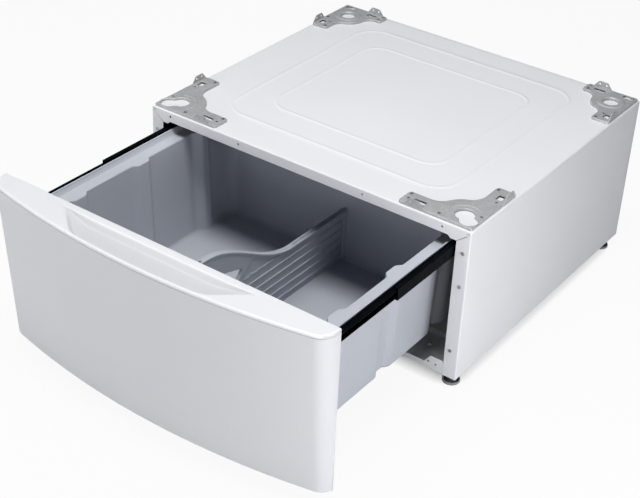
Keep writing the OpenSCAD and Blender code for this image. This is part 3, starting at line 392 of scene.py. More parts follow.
def arcPoints(centre, radius, start, end, steps=8):
    # Points of an arc between two angles in radians
    a = np.linspace(start, end, steps + 1)
    return np.column_stack((centre[0] + radius * np.cos(a), centre[1] + radius * np.sin(a)))


def superellipse(halfX, halfY, steps, power):
    # The closed curve |x / halfX|^power + |y / halfY|^power = 1, at even turns
    turn = np.arange(steps) * (2 * pi / steps)
    c, s = np.cos(turn), np.sin(turn)
    size = (np.abs(c) ** power + np.abs(s) ** power) ** (-1.0 / power)
    return halfX * c * size, halfY * s * size


def roundedOutline(corners, radius, steps=6):
    # Each corner of the polygon becomes a quadratic curve that starts 1.6 radii before it
    corners = np.array(corners)
    before, after = np.roll(corners, 1, axis=0), np.roll(corners, -1, axis=0)
    size = radius * 1.6
    inward = (before - corners) / np.linalg.norm(before - corners, axis=1)[:, None] * size
    outward = (after - corners) / np.linalg.norm(after - corners, axis=1)[:, None] * size
    t = np.linspace(0.0, 1.0, steps + 1)[None, :, None]
    curve = (corners + inward)[:, None] * (1 - t) ** 2 + 2 * corners[:, None] * t * (1 - t)
    return (curve + (corners + outward)[:, None] * t ** 2).reshape(-1, 2)


def outwardNormals(outline):
    # Unit normals of a closed outline that runs anticlockwise, from each point's two neighbours
    tangent = np.roll(outline, -1, axis=0) - np.roll(outline, 1, axis=0)
    normal = np.column_stack((tangent[:, 1], -tangent[:, 0]))
    return normal / np.linalg.norm(normal, axis=1)[:, None]


def border(grid):
    # The four edges of a grid of points, as one closed row
    return np.vstack((grid[0, :-1], grid[:-1, -1], grid[-1, :0:-1], grid[:0:-1, 0]))


def lathe(profile, centre, steps=56):
    # Turns a closed profile of (radius, height) about an upright axis
    loops = [np.column_stack((circle(centre, r, steps), np.full(steps, centre[2] + z)))
             for r, z in profile]
    return [patch(loops, closeRows=True, closeColumns=True)]


def joinPatches(name, patches, turnOut):
    # One mesh of all the patches, with their seams merged
    points = np.vstack([p for p, f in patches]) * mm
    faces, start = [], 0
    for p, f in patches:
        faces += (f + start).tolist()
        start += len(p)
    mesh = bpy.data.meshes.new(name)
    mesh.from_pydata(points.tolist(), [], faces)
    work = bmesh.new()
    work.from_mesh(mesh)
    bmesh.ops.remove_doubles(work, verts=work.verts, dist=0.00001)
    bmesh.ops.dissolve_degenerate(work, edges=work.edges, dist=0.000002)
    if turnOut:
        bmesh.ops.recalc_face_normals(work, faces=work.faces)
    work.to_mesh(mesh)
    work.free()
    return mesh


def makePiece(name, patches, slot, body, stands, angle=35.0, wall=0.0, bevel=0.0, turnOut=False,
              cuts=(), segments=2, evenWall=True, finish=None):
    # Gives the sheet its wall below the drawn surface, cuts its openings, softens its edges and
    # lets it ride on its body
    mesh = joinPatches(name, patches, turnOut)
    mesh.materials.append(finishes[finish or slot])
    piece = bpy.data.objects.new(name, mesh)
    bpy.context.scene.collection.objects.link(piece)
    if wall:
        addModifier(piece, "SOLIDIFY", thickness=wall * mm, offset=-1.0, use_even_offset=evenWall,
                    use_quality_normals=evenWall)
    if len(cuts):
        cut(piece, cuts)
    if bevel:
        addModifier(piece, "BEVEL", width=bevel * mm, segments=segments, limit_method="ANGLE",
                    angle_limit=math.radians(40), harden_normals=False)
    shadeByAngle(piece, angle)
    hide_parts(*stands)
    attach(piece, body)


def addModifier(piece, kind, **settings):
    # Adds one modifier and applies it, so that what follows works on the finished shape
    modifier = piece.modifiers.new(kind.lower(), kind)
    for key, value in settings.items():
        setattr(modifier, key, value)
    bpy.context.view_layer.update()
    seen = piece.evaluated_get(bpy.context.evaluated_depsgraph_get())
    shape = bpy.data.meshes.new_from_object(seen)
    piece.modifiers.clear()
    shape.name = piece.name
    old, piece.data = piece.data, shape
    bpy.data.meshes.remove(old)


def cut(piece, prisms):
    # Takes the closed solids away from the piece
    mesh = joinPatches("cutter", [part for solid in prisms for part in solid], True)
    cutter = bpy.data.objects.new("cutter", mesh)
    bpy.context.scene.collection.objects.link(cutter)
    addModifier(piece, "BOOLEAN", operation="DIFFERENCE", solver="EXACT", object=cutter)
    bpy.data.objects.remove(cutter)
    bpy.data.meshes.remove(mesh)


def shadeByAngle(piece, angle):
    # Smooth shading that breaks where two faces meet at more than the angle
    mesh = piece.data
    work = bmesh.new()
    work.from_mesh(mesh)
    limit = math.radians(angle)
    for edge in work.edges:
        edge.smooth = len(edge.link_faces) == 2 and edge.calc_face_angle(0.0) < limit
    work.to_mesh(mesh)
    work.free()
    mesh.polygons.foreach_set("use_smooth", np.ones(len(mesh.polygons), bool))


def smoothStep(t):
    # 3t² − 2t³, held at 0 and 1 outside its span
    t = np.clip(t, 0.0, 1.0)
    return t * t * (3.0 - 2.0 * t)


# Sizes of the cabinet and the drawer, in millimetres
cabinet = {"halfWidth": 343.0, "front": -308.5, "back": 308.5, "low": 25.0, "deck": 323.5}
drawer = {
    "frontPlane": -665.5,  # back of the drawer front, with the drawer as drawn
    "top": 337.0, "bottom": 25.0, "capLow": 331.5, "capSkirt": 12.0, "lean": 3.76,
    "bow": 1490.0, "crest": 74.0, "corner": 30.0,
}


def frontOutline(inset, cornerSteps=12, bowSteps=72):
    # Seen from above: a corner arc, the long bow and the other corner arc, from right to left,
    # each an arc about its own centre with its radius less the inset
    half, corner, bow = cabinet["halfWidth"], drawer["corner"], drawer["bow"]
    bowCentre = bow - drawer["crest"]
    reach = half - corner
    cornerCentre = bowCentre - math.sqrt((bow - corner) ** 2 - reach ** 2)
    turn = math.asin(reach / (bow - corner))
    a = np.linspace(0.0, pi / 2 - turn, cornerSteps + 1)
    b = np.linspace(turn, -turn, bowSteps + 1)[1:]
    arc = corner - inset
    x = np.concatenate((reach + arc * np.cos(a), (bow - inset) * np.sin(b)))
    y = np.concatenate((cornerCentre - arc * np.sin(a), bowCentre - (bow - inset) * np.cos(b)))
    normal = np.concatenate((a, pi / 2 - b))
    left = slice(cornerSteps - 1, None, -1)
    x = np.concatenate((x, -x[left]))
    y = np.concatenate((y, y[left]))
    normal = np.concatenate((normal, pi - normal[left]))
    return x, y, np.stack((np.cos(normal), -np.sin(normal)), axis=1)


def leaned(y, drop):
    # The face leans back below the top: y / cos(lean) + drop tan(lean), never past the back plane
    lean = math.radians(drawer["lean"])
    return np.minimum(y / math.cos(lean) + drop * math.tan(lean), 0.0)


skinLook = {
    "wall": 1.0, "bottomRoll": 3.0, "topRoll": 1.2, "seam": 0.9, "topLip": 2.2,
    "rows": 14, "sideSteps": 5,
}


def makeDrawerFrontSkin(look):
    # A sheet bent round the bowed outline. Each level is the outline with its own inset and height:
    # a quarter turn at the bottom, the straight face, and a small roll in under the cap
    a = np.linspace(0.0, pi / 2, 7)
    low, top = drawer["bottom"], drawer["capLow"] - look["seam"]
    r, q = look["bottomRoll"], look["topRoll"]
    inset = np.concatenate((r - r * np.sin(a), np.zeros(look["rows"] - 1), q - q * np.cos(a),
                            [look["topLip"]]))
    height = np.concatenate((low + r - r * np.cos(a),
                             np.linspace(low + r, top - q, look["rows"] + 1)[1:-1],
                             top - q + q * np.sin(a), [top]))
    levels = []
    for d, z in zip(inset, height):
        x, y = frontOutline(d)[:2]
        y = leaned(y, drawer["top"] - z)
        t = np.linspace(0.0, 1.0, look["sideSteps"] + 1)[:-1]
        right = np.stack((np.full(len(t), x[0]), y[0] * t), axis=1)
        left = right[::-1] * (-1.0, 1.0)
        plan = np.vstack((right, np.stack((x, y), axis=1), left))
        levels.append(np.column_stack((plan[:, 0], plan[:, 1] + drawer["frontPlane"],
                                       np.full(len(plan), z))))
    side = look["sideSteps"]
    front = levels[0][side:-side]
    t = np.linspace(0.0, 1.0, 4)[:, None, None]
    back = np.array([1.0, 0.0, 1.0]) * front + (0.0, drawer["frontPlane"], 0.0)
    floor = front * (1 - t) + back * t
    makePiece("drawerFrontSkin", [patch(levels), patch(floor, flip=True)], "white_paint", "drawer",
              ["drawer_front_skin"], angle=50.0, wall=look["wall"], finish="shaded_front_paint")


capLook = {
    "wall": 2.4, "edge": 3.2, "backRoll": 1.0, "skirtInset": 1.4, "seam": 0.05,
    "steps": 64, "cornerSteps": 12, "bowSteps": 150,
    "scoopBack": 13.0, "scoopRim": 3.6, "scoopDepth": 8.0, "rearHalf": 204.0, "frontHalf": 120.0,
    "rearSlope": 0.30, "frontSlope": 0.16,
}


def scoopDepth(x, v, look):
    # v runs forward from the back plane. The hollow lies between its straight rear edge and a front
    # edge that follows the bow and swings back in an S at both ends; its depth across is a rounded
    # trough, less where it is narrow
    across = np.abs(x)
    bow, back, frontHalf = drawer["bow"], look["scoopBack"], look["frontHalf"]
    level = drawer["crest"] - look["scoopRim"] - bow
    rim = level + np.sqrt(bow ** 2 - across ** 2)
    full = level + math.sqrt(bow ** 2 - frontHalf ** 2)
    swing = smoothStep((look["rearHalf"] - across) / (look["rearHalf"] - frontHalf))
    front = np.where(across < frontHalf, rim, back + (full - back) * swing)
    width = np.maximum(front - back, 1e-6)
    q = np.clip((v - back) / width, 0.0, 1.0)
    trough = smoothStep(q / look["rearSlope"]) * smoothStep((1.0 - q) / look["frontSlope"])
    share = np.clip(width / (full - back), 0.0, 1.0)
    return look["scoopDepth"] * trough * share ** 0.6 * (width > 0.01)


def makeDrawerFrontCap(look):
    # The top is a grid from the back edge to the bowed front edge, lowered by the scoop. Its rim is
    # rolled down by a quarter turn, then runs down the wall and inside the skin
    r, roll, inside = look["edge"], look["backRoll"], look["edge"] - look["skirtInset"]
    x, y, normal = frontOutline(r, look["cornerSteps"], look["bowSteps"])
    t = np.linspace(0.0, 1.0, look["steps"] + 1)
    front = leaned(y, 0.0)
    backEdge = -roll
    yTop = backEdge + (front[:, None] - backEdge) * t[None, :]
    xTop = np.repeat(x[:, None], len(t), axis=1)
    depth = scoopDepth(xTop, -yTop, look)
    top = np.stack((xTop, yTop + drawer["frontPlane"], drawer["top"] - depth), axis=2)

    # which way each rim point moves as it rolls down: right end, bowed front, left end, back
    ring = border(top)
    sides, count = len(t) - 1, len(x)
    rear = 2 * sides + count - 1
    push = np.zeros((len(ring), 2))
    push[:sides] = (1, 0)
    push[sides:sides + count - 1] = normal[:-1]
    push[sides + count - 1:rear + 1] = (-1, 0)
    behind = np.zeros(len(ring))
    behind[rear:] = behind[0] = 1.0
    forward = (ring[:, 1] - drawer["frontPlane"] - backEdge) / (front.min() - backEdge)
    share = np.clip(forward * 3.0, 0.0, 1.0)
    a = np.linspace(0.0, pi / 2, 7)
    wallDrop = drawer["top"] - drawer["capLow"] - look["seam"]
    skirtDrop = drawer["top"] - (drawer["capLow"] - drawer["capSkirt"])
    drops = np.concatenate((r - r * np.cos(a), [wallDrop, wallDrop, skirtDrop]))
    outs = np.concatenate((r * np.sin(a), [r, inside, inside]))
    backs = np.concatenate((roll * np.sin(a), [roll] * 3))
    levels = []
    for out, drop, back in zip(outs, drops, backs):
        level = ring.copy()
        level[:, :2] += push * out
        level[:, 1] += behind * back + share * drop * math.tan(math.radians(drawer["lean"]))
        level[:, 2] = drawer["top"] - drop
        levels.append(level)
    makePiece("drawerFrontCap", [patch(top), patch(levels, closeColumns=True, flip=True)],
              "cap_plastic", "drawer", ["drawer_front_cap"], angle=60.0, wall=look["wall"])


makeDrawerFrontSkin(skinLook)
makeDrawerFrontCap(capLook)
print("drawer front made")


# Drawer tub: one moulded wall that runs from the skirt over the rim and down to the floor

tubLook = {
    "front": -663.7, "back": -136.7, "rimHalf": 300.0, "wellHalf": 272.0,
    "wellFront": -656.7, "wellBack": -164.7, "skirt": 268.5, "lip": 288.5, "ledge": 278.5,
    "floor": 68.0, "wall": 3.0, "draft": 10.0, "corner": 24.0, "frontCorner": 0.05,
    "rimCorner": 4.0, "lipWidth": 1.5, "lipRoll": 0.7, "slopeWidth": 6.2,
    "edgeRoll": 2.5, "floorRoll": 9.0,
    # points of the slope behind the lip, as (inwards, upwards) from its head and from its foot
    "slopeHead": ((-0.4, 0.0), (0.8, -0.5)),
    "slopeFoot": ((-1.6, 1.3), (-0.6, 0.45), (0.6, 0.05), (1.6, 0.0)),
    # distance behind the front edge, half width at the foot, depth
    "columns": ((88.0, 24.0, 8.5), (245.0, 24.0, 8.5), (406.0, 25.0, 13.0)),
    # the columns' points stand at the same places on every level: the first place behind the
    # front edge, and how much shorter than the tub their row is
    "columnRow": (58.0, 142.0),
    "sideSteps": 150, "frontSteps": 26, "cornerSteps": 9,
}


def columnDepth(y, look):
    # Each column swells inwards with 45 degree flanks and a flat face, softly joined
    depth = np.zeros_like(y)
    for place, half, size in look["columns"]:
        away = np.abs(y - look["front"] - place)
        depth += size * smoothStep((half - away) / (1.5 * size))
    return depth


def tubRing(half, yFront, yBack, rFront, rBack, zSide, zFront, column, look):
    # One closed level, from the middle of the front wall round the right side to the start again:
    # straight walls, quarter-circle corners, and columns pushed in from the side walls
    n = look["frontSteps"]
    x = np.linspace(0.0, half - rFront, n + 1)
    front = np.stack((x, np.full(n + 1, yFront), np.full(n + 1, zFront)), 1)
    a = np.linspace(-pi / 2, 0.0, look["cornerSteps"] + 1)[1:]
    zCorner = np.full(len(a), zSide)
    near = np.stack((half - rFront + rFront * np.cos(a), yFront + rFront + rFront * np.sin(a),
                     zCorner), 1)
    y = np.linspace(yFront + rFront, yBack - rBack, look["sideSteps"] + 1)
    t = np.linspace(0.0, 1.0, look["sideSteps"] + 1)
    start, shorter = look["columnRow"]
    fixed = look["front"] + start + t * (look["back"] - look["front"] - shorter)
    keep = smoothStep(np.minimum(t, 1.0 - t) * 30.0)
    y = y * (1.0 - keep) + fixed * keep
    side = np.stack((half - column * columnDepth(y, look), y, np.full(len(y), zSide)), 1)[1:]
    b = np.linspace(0.0, pi / 2, look["cornerSteps"] + 1)[1:]
    far = np.stack((half - rBack + rBack * np.cos(b), yBack - rBack + rBack * np.sin(b),
                    np.full(len(b), zSide)), 1)
    x = np.linspace(half - rBack, 0.0, n + 1)[1:]
    rear = np.stack((x, np.full(n, yBack), np.full(n, zSide)), 1)
    right = np.vstack((front, near, side, far, rear))
    left = right[-2:0:-1] * (-1.0, 1.0, 1.0)
    return np.vstack((right, left))


def tubLevels(look):
    # The profile as (inset from the rim, height): skirt, rounded lip, slope, ledge, then the wall.
    # In front there is no lip, so no point there stands above the ledge
    lip, ledge, floor, corner = look["lip"], look["ledge"], look["floor"], look["corner"]
    q, r, roll = look["lipRoll"], look["edgeRoll"], look["floorRoll"]
    frontCorner, rimCorner = look["frontCorner"], look["rimCorner"]
    outer = [(0.0, look["skirt"]), (0.0, ledge - 1.0), (0.0, ledge), (0.0, lip - q - 0.5)]
    outer += [(q - q * math.cos(k), lip - q + q * math.sin(k))
              for k in np.linspace(0.0, pi / 2, 5)]
    outer += [(look["lipWidth"] + out, lip + z) for out, z in look["slopeHead"]]
    outer += [(look["lipWidth"] + look["slopeWidth"] + out, ledge + z)
              for out, z in look["slopeFoot"]]
    levels = [tubRing(look["rimHalf"] - inset, look["front"], look["back"] - inset, frontCorner,
                      rimCorner, z, min(z, ledge), 0.0, look) for inset, z in outer]
    ledgeOuter = outer[-1][0]
    ledgeInner = look["rimHalf"] - look["wellHalf"] - r
    for share in (0.55, 1.0):
        inset = ledgeOuter + (ledgeInner - ledgeOuter) * share
        frontInset = (look["wellFront"] - look["front"] - r) * share
        grown = share * (corner + rimCorner)
        levels.append(tubRing(look["rimHalf"] - inset, look["front"] + frontInset,
                              look["back"] - inset, frontCorner + grown, rimCorner + grown,
                              ledge, ledge, share, look))

    def well(out, radius, z, column=1.0):
        # One level of the well, its outline moved out by the first number
        return tubRing(look["wellHalf"] + out, look["wellFront"] - out, look["wellBack"] + out,
                       radius, radius, z, z, column, look)

    for k in np.linspace(0.0, pi / 2, 6)[1:]:
        out = r * (1.0 - math.sin(k))
        levels.append(well(out, corner + out, ledge - r + r * math.cos(k)))
    depth = ledge - floor
    for z in np.linspace(ledge - r, floor + roll, 9)[1:]:
        levels.append(well(-look["draft"] * (ledge - z) / depth, corner, z))
    for k in np.linspace(0.0, pi / 2, 7)[1:]:
        turned = 1.0 - math.cos(k)
        lean = look["draft"] * (1.0 - roll / depth) + roll * turned
        levels.append(well(-lean, max(corner - roll * turned * 0.5, 4.0),
                           floor + roll - roll * math.sin(k), 1.0 - 0.15 * turned))
    centre = np.array((0.0, (look["wellFront"] + look["wellBack"]) / 2, floor))
    for share in (0.97, 0.9, 0.75, 0.5, 0.2):
        levels.append(centre + (levels[-1] - centre) * share)
    return levels


def roundedBar(low, high, roll, steps=6, power=5.0):
    # A closed upright bar with softened edges: a superellipse plan, lofted to a domed top
    low, high = np.asarray(low, float), np.asarray(high, float)
    middle, half = (low + high) / 2, (high - low) / 2
    k = np.linspace(0.0, pi / 2, steps)
    insets = np.concatenate(([0.0, 0.0], roll - roll * np.cos(k[1:])))
    heights = np.concatenate(([low[2], high[2] - roll], high[2] - roll + roll * np.sin(k[1:])))
    levels = []
    for d, z in zip(insets, heights):
        x, y = superellipse(half[0] - d, half[1] - d, 40, power)
        levels.append(np.stack((middle[0] + x, middle[1] + y, np.full(len(x), z)), 1))
    return [patch(levels, closeColumns=True), fan(levels[0], flip=True), fan(levels[-1])]


guideLook = {
    "gap": 0.3, "thickness": 2.5, "depth": 6.0, "buried": 7.0, "roll": 1.1,
    "rearTop": 169.0, "frontTop": 252.0,
}
dividerLook = {
    "place": 5.0, "thickness": 4.0, "floorGap": 0.3, "lowHeight": 107.0, "highHeight": 196.2,
    "curveRear": 327.0, "curveFront": 92.0, "gap": 0.3,
    "bandWidth": 12.0, "bandHeight": 4.0, "bandEnds": (3.0, 4.0),
    "window": ((55.0, 110.0), (173.0, 110.0), (190.0, 131.0), (135.0, 147.0), (55.0, 158.0)),
    "windowRound": 5.0, "windowRim": 6.0, "rimWall": 1.8, "rimSunk": 0.5,
    "ribPitch": 18.3, "ribFirst": 14.0, "ribs": 6, "ribWidth": 2.6, "ribHeight": 2.0,
    "ribFlank": 0.35, "ribEnds": (8.0, 9.0), "shortRibEnd": 295.0, "pad": 4.0, "fade": 3.0,
    # the crease stands upright up to a height, and leans back over the span above it
    "crease": (150.0, 48.0, 20.0), "creaseHeight": 60.0, "creaseSpan": 80.0,
}


def makeDrawerTub(look, guide, divider):
    # The moulded shell, and two pairs of upright bars on its end walls that guide the divider
    levels = tubLevels(look)
    makePiece("drawerTub", [patch(levels, closeColumns=True, flip=True), fan(levels[-1])],
              "grey_plastic", "drawer", ["drawer_tub"], angle=42.0, wall=look["wall"],
              evenWall=False)
    bars = []
    base, deep, buried = look["floor"] - 1.0, guide["depth"], guide["buried"]
    rear, front = look["wellBack"] - look["draft"], look["wellFront"] + look["draft"]
    for side in (-1, 1):
        aside = divider["thickness"] / 2 + guide["gap"] + guide["thickness"] / 2
        middle = divider["place"] + side * aside
        x0, x1 = middle - guide["thickness"] / 2, middle + guide["thickness"] / 2
        for y0, y1, top in ((rear - deep, rear + buried, guide["rearTop"]),
                            (front - buried, front + deep, guide["frontTop"])):
            bars += roundedBar((x0, y0, base), (x1, y1, top), guide["roll"])
    makePiece("drawerTubGuides", bars, "grey_plastic", "drawer", ["drawer_tub"], angle=50.0,
              turnOut=True)


def dividerTop(y, look):
    # Low at the rear, high in front, joined by the smooth step
    t = smoothStep((look["curveRear"] - y) / (look["curveRear"] - look["curveFront"]))
    return look["lowHeight"] + (look["highHeight"] - look["lowHeight"]) * t


def creaseLine(h, look):
    # Where the smooth front field of the panel ends, as a distance behind the tub's front edge:
    # a + b t + c t², t being the share of the span above the crease's height
    a, b, c = look["crease"]
    t = np.clip((h - look["creaseHeight"]) / look["creaseSpan"], 0.0, 1.6)
    return a + b * t + c * t ** 2


def dividerBand(start, end, look):
    # A superellipse carried along the top edge from start to end, square to its slope
    run = np.linspace(start, end, 200)
    crest = dividerTop(run, look)
    slope = np.gradient(crest, run)
    length = np.sqrt(1.0 + slope ** 2)
    halfHigh = look["bandHeight"] / 2
    across, up = superellipse(look["bandWidth"] / 2, halfHigh, 28, 7)
    band = np.empty((len(run), len(across), 3))
    band[:, :, 0] = across
    band[:, :, 1] = (run + slope / length * halfHigh)[:, None] - (slope / length)[:, None] * up
    band[:, :, 2] = (crest - halfHigh / length)[:, None] + (1.0 / length)[:, None] * up
    return band


def windowRim(window, look):
    # A collar that stands out of the smooth face round the window: a closed loop of the outline and
    # the outline grown by the wall along its normals
    normal, wall = outwardNormals(window), look["rimWall"]
    face = look["place"] - look["thickness"] / 2 + look["rimSunk"]
    end = face - look["windowRim"]
    profile = ((wall, face), (wall, end + 0.6), (wall - 0.5, end), (0.4, end), (0.0, face))
    loops = [np.column_stack((np.full(len(window), x), window + normal * out))
             for out, x in profile]
    return [patch(loops, closeRows=True, closeColumns=True)]


def makeDrawerDivider(look, tub):
    # The panel is a grid over its length and height on both faces. The face with ribs carries them
    # as narrow ridges of the height function, and a raised smooth field in front of the crease
    draft = tub["draft"] / (tub["ledge"] - tub["floor"])
    front = tub["wellFront"] - tub["front"] + tub["draft"] + look["gap"]
    rear = tub["wellBack"] - tub["front"] - tub["draft"] - look["gap"]
    ribHeights = [look["ribFirst"] + i * look["ribPitch"] for i in range(look["ribs"])]
    edge, flank, fade = look["ribWidth"] / 2, look["ribFlank"], look["fade"]
    heights = [0.0, 1.0]
    for z in ribHeights:
        heights += [z - edge - flank, z - edge * 0.5, z, z + edge * 0.5, z + edge + flank,
                    z + look["ribPitch"] / 2]
    s = np.linspace(0.0, 1.0, 241)
    top = dividerTop(front + s * (rear - front), look)
    limit = look["lowHeight"] - look["bandHeight"] - 0.5
    low = np.array([z for z in heights if z <= limit])[:, None] * np.ones((1, len(s)))
    upper = np.linspace(0.0, 1.0, 22)[1:]
    high = low[-1][None, :] + (top[None, :] - low[-1][None, :]) * upper[:, None]
    h = np.vstack((low, high))
    y = (front - draft * h) + s[None, :] * ((rear + draft * h) - (front - draft * h))
    smooth = smoothStep((creaseLine(h, look) - y) / fade + 0.5)
    start, short = look["ribEnds"]
    ridge = np.zeros_like(h)
    for z in ribHeights:
        end = rear - short if z + 1.0 < limit else look["shortRibEnd"]
        inside = smoothStep((end - y) / fade) * smoothStep((y - front - start) / fade)
        section = np.clip((edge + flank - np.abs(h - z)) / 0.55, 0.0, 1.0)
        ridge += look["ribHeight"] * section * inside
    outer = look["thickness"] / 2 + np.maximum(look["pad"] * smooth * 0.6, ridge * (1.0 - smooth))
    inner = -np.full_like(h, look["thickness"] / 2)
    origin = np.array((look["place"], tub["front"], tub["floor"] + look["floorGap"]))
    right, left = (np.stack((x, y, h), axis=2) + origin for x in (outer, inner))
    patches = [patch(right), patch(left, flip=True),
               patch([border(right), border(left)], closeColumns=True, flip=True)]
    band = dividerBand(front - draft * look["highHeight"] + look["bandEnds"][0],
                       rear + draft * look["lowHeight"] - look["bandEnds"][1], look) + origin
    patches += [patch(band, closeColumns=True), fan(band[0], flip=True), fan(band[-1])]
    window = roundedOutline(look["window"], look["windowRound"]) + origin[1:]
    patches += windowRim(window, look)
    makePiece("drawerDivider", patches, "divider_plastic", "divider", ["drawer_divider"],
              angle=38.0, turnOut=True,
              cuts=[prism(window, "x", look["place"] - 8.0, look["place"] + 8.0)])


makeDrawerTub(tubLook, guideLook, dividerLook)
makeDrawerDivider(dividerLook, tubLook)
print("tub and divider made")


# Cabinet wrapper: one bent sheet that makes the deck, both sides and the flanges

wrapperLook = {
    "fold": 4.0, "frontFold": 1.7, "rearFold": 1.0, "sheet": 1.0,
    "jamb": 26.0, "rail": 19.5, "railTab": 24.5, "tabStart": 305.0, "tabEnd": 300.0,
    "lip": 12.0, "lipLow": 28.0, "bottomFlange": 15.0, "rearFlange": 14.0, "rearGap": 1.0,
    # the corner recess: inwards from the side, down from the top, half size, depth
    "recess": (5.6, 5.3, 3.5, 0.47), "recessRound": 0.7,
    "mitreStart": (7.0, 9.5), "mitreSlot": 1.0, "mitreDepth": 0.9,
    "railHoles": (-299.0, -139.0, 129.0, 288.0), "railHoleDrop": 9.0, "railHole": 2.2,
    # each bead: half width, half depth, corner radius. The grid is fine where beads run, between
    # two distances from the middle
    "beads": ((243.0, 237.5, 50.0), (186.0, 172.5, 40.0)), "beadCentre": 8.0, "beadWidth": 9.0,
    "beadHeight": 1.0, "fineColumns": (252.0, 136.0), "fineRows": (242.0, 128.0),
    "fineStep": 2.2, "coarseStep": 9.0,
}


def beadRise(x, y, look):
    # Each bead follows a rounded rectangle: height (1 - (d / half width)²)², d being the distance
    # to its outline
    rise = np.zeros_like(x)
    for halfX, halfY, corner in look["beads"]:
        qx = np.abs(x) - (halfX - corner)
        qy = np.abs(y - look["beadCentre"]) - (halfY - corner)
        outside = np.hypot(np.maximum(qx, 0.0), np.maximum(qy, 0.0))
        d = outside + np.minimum(np.maximum(qx, qy), 0.0) - corner
        t = np.clip(1.0 - (d / (look["beadWidth"] / 2)) ** 2, 0.0, 1.0)
        rise = np.maximum(rise, look["beadHeight"] * t * t)
    return rise


def spacedSteps(stops, spacing):
    # A row of numbers through the stops, with each span divided by its own spacing
    parts = []
    for start, end, step in zip(stops[:-1], stops[1:], spacing):
        count = max(1, int(round(abs(end - start) / step)))
        parts.append(np.linspace(start, end, count + 1)[:-1])
    return np.concatenate(parts + [[stops[-1]]])


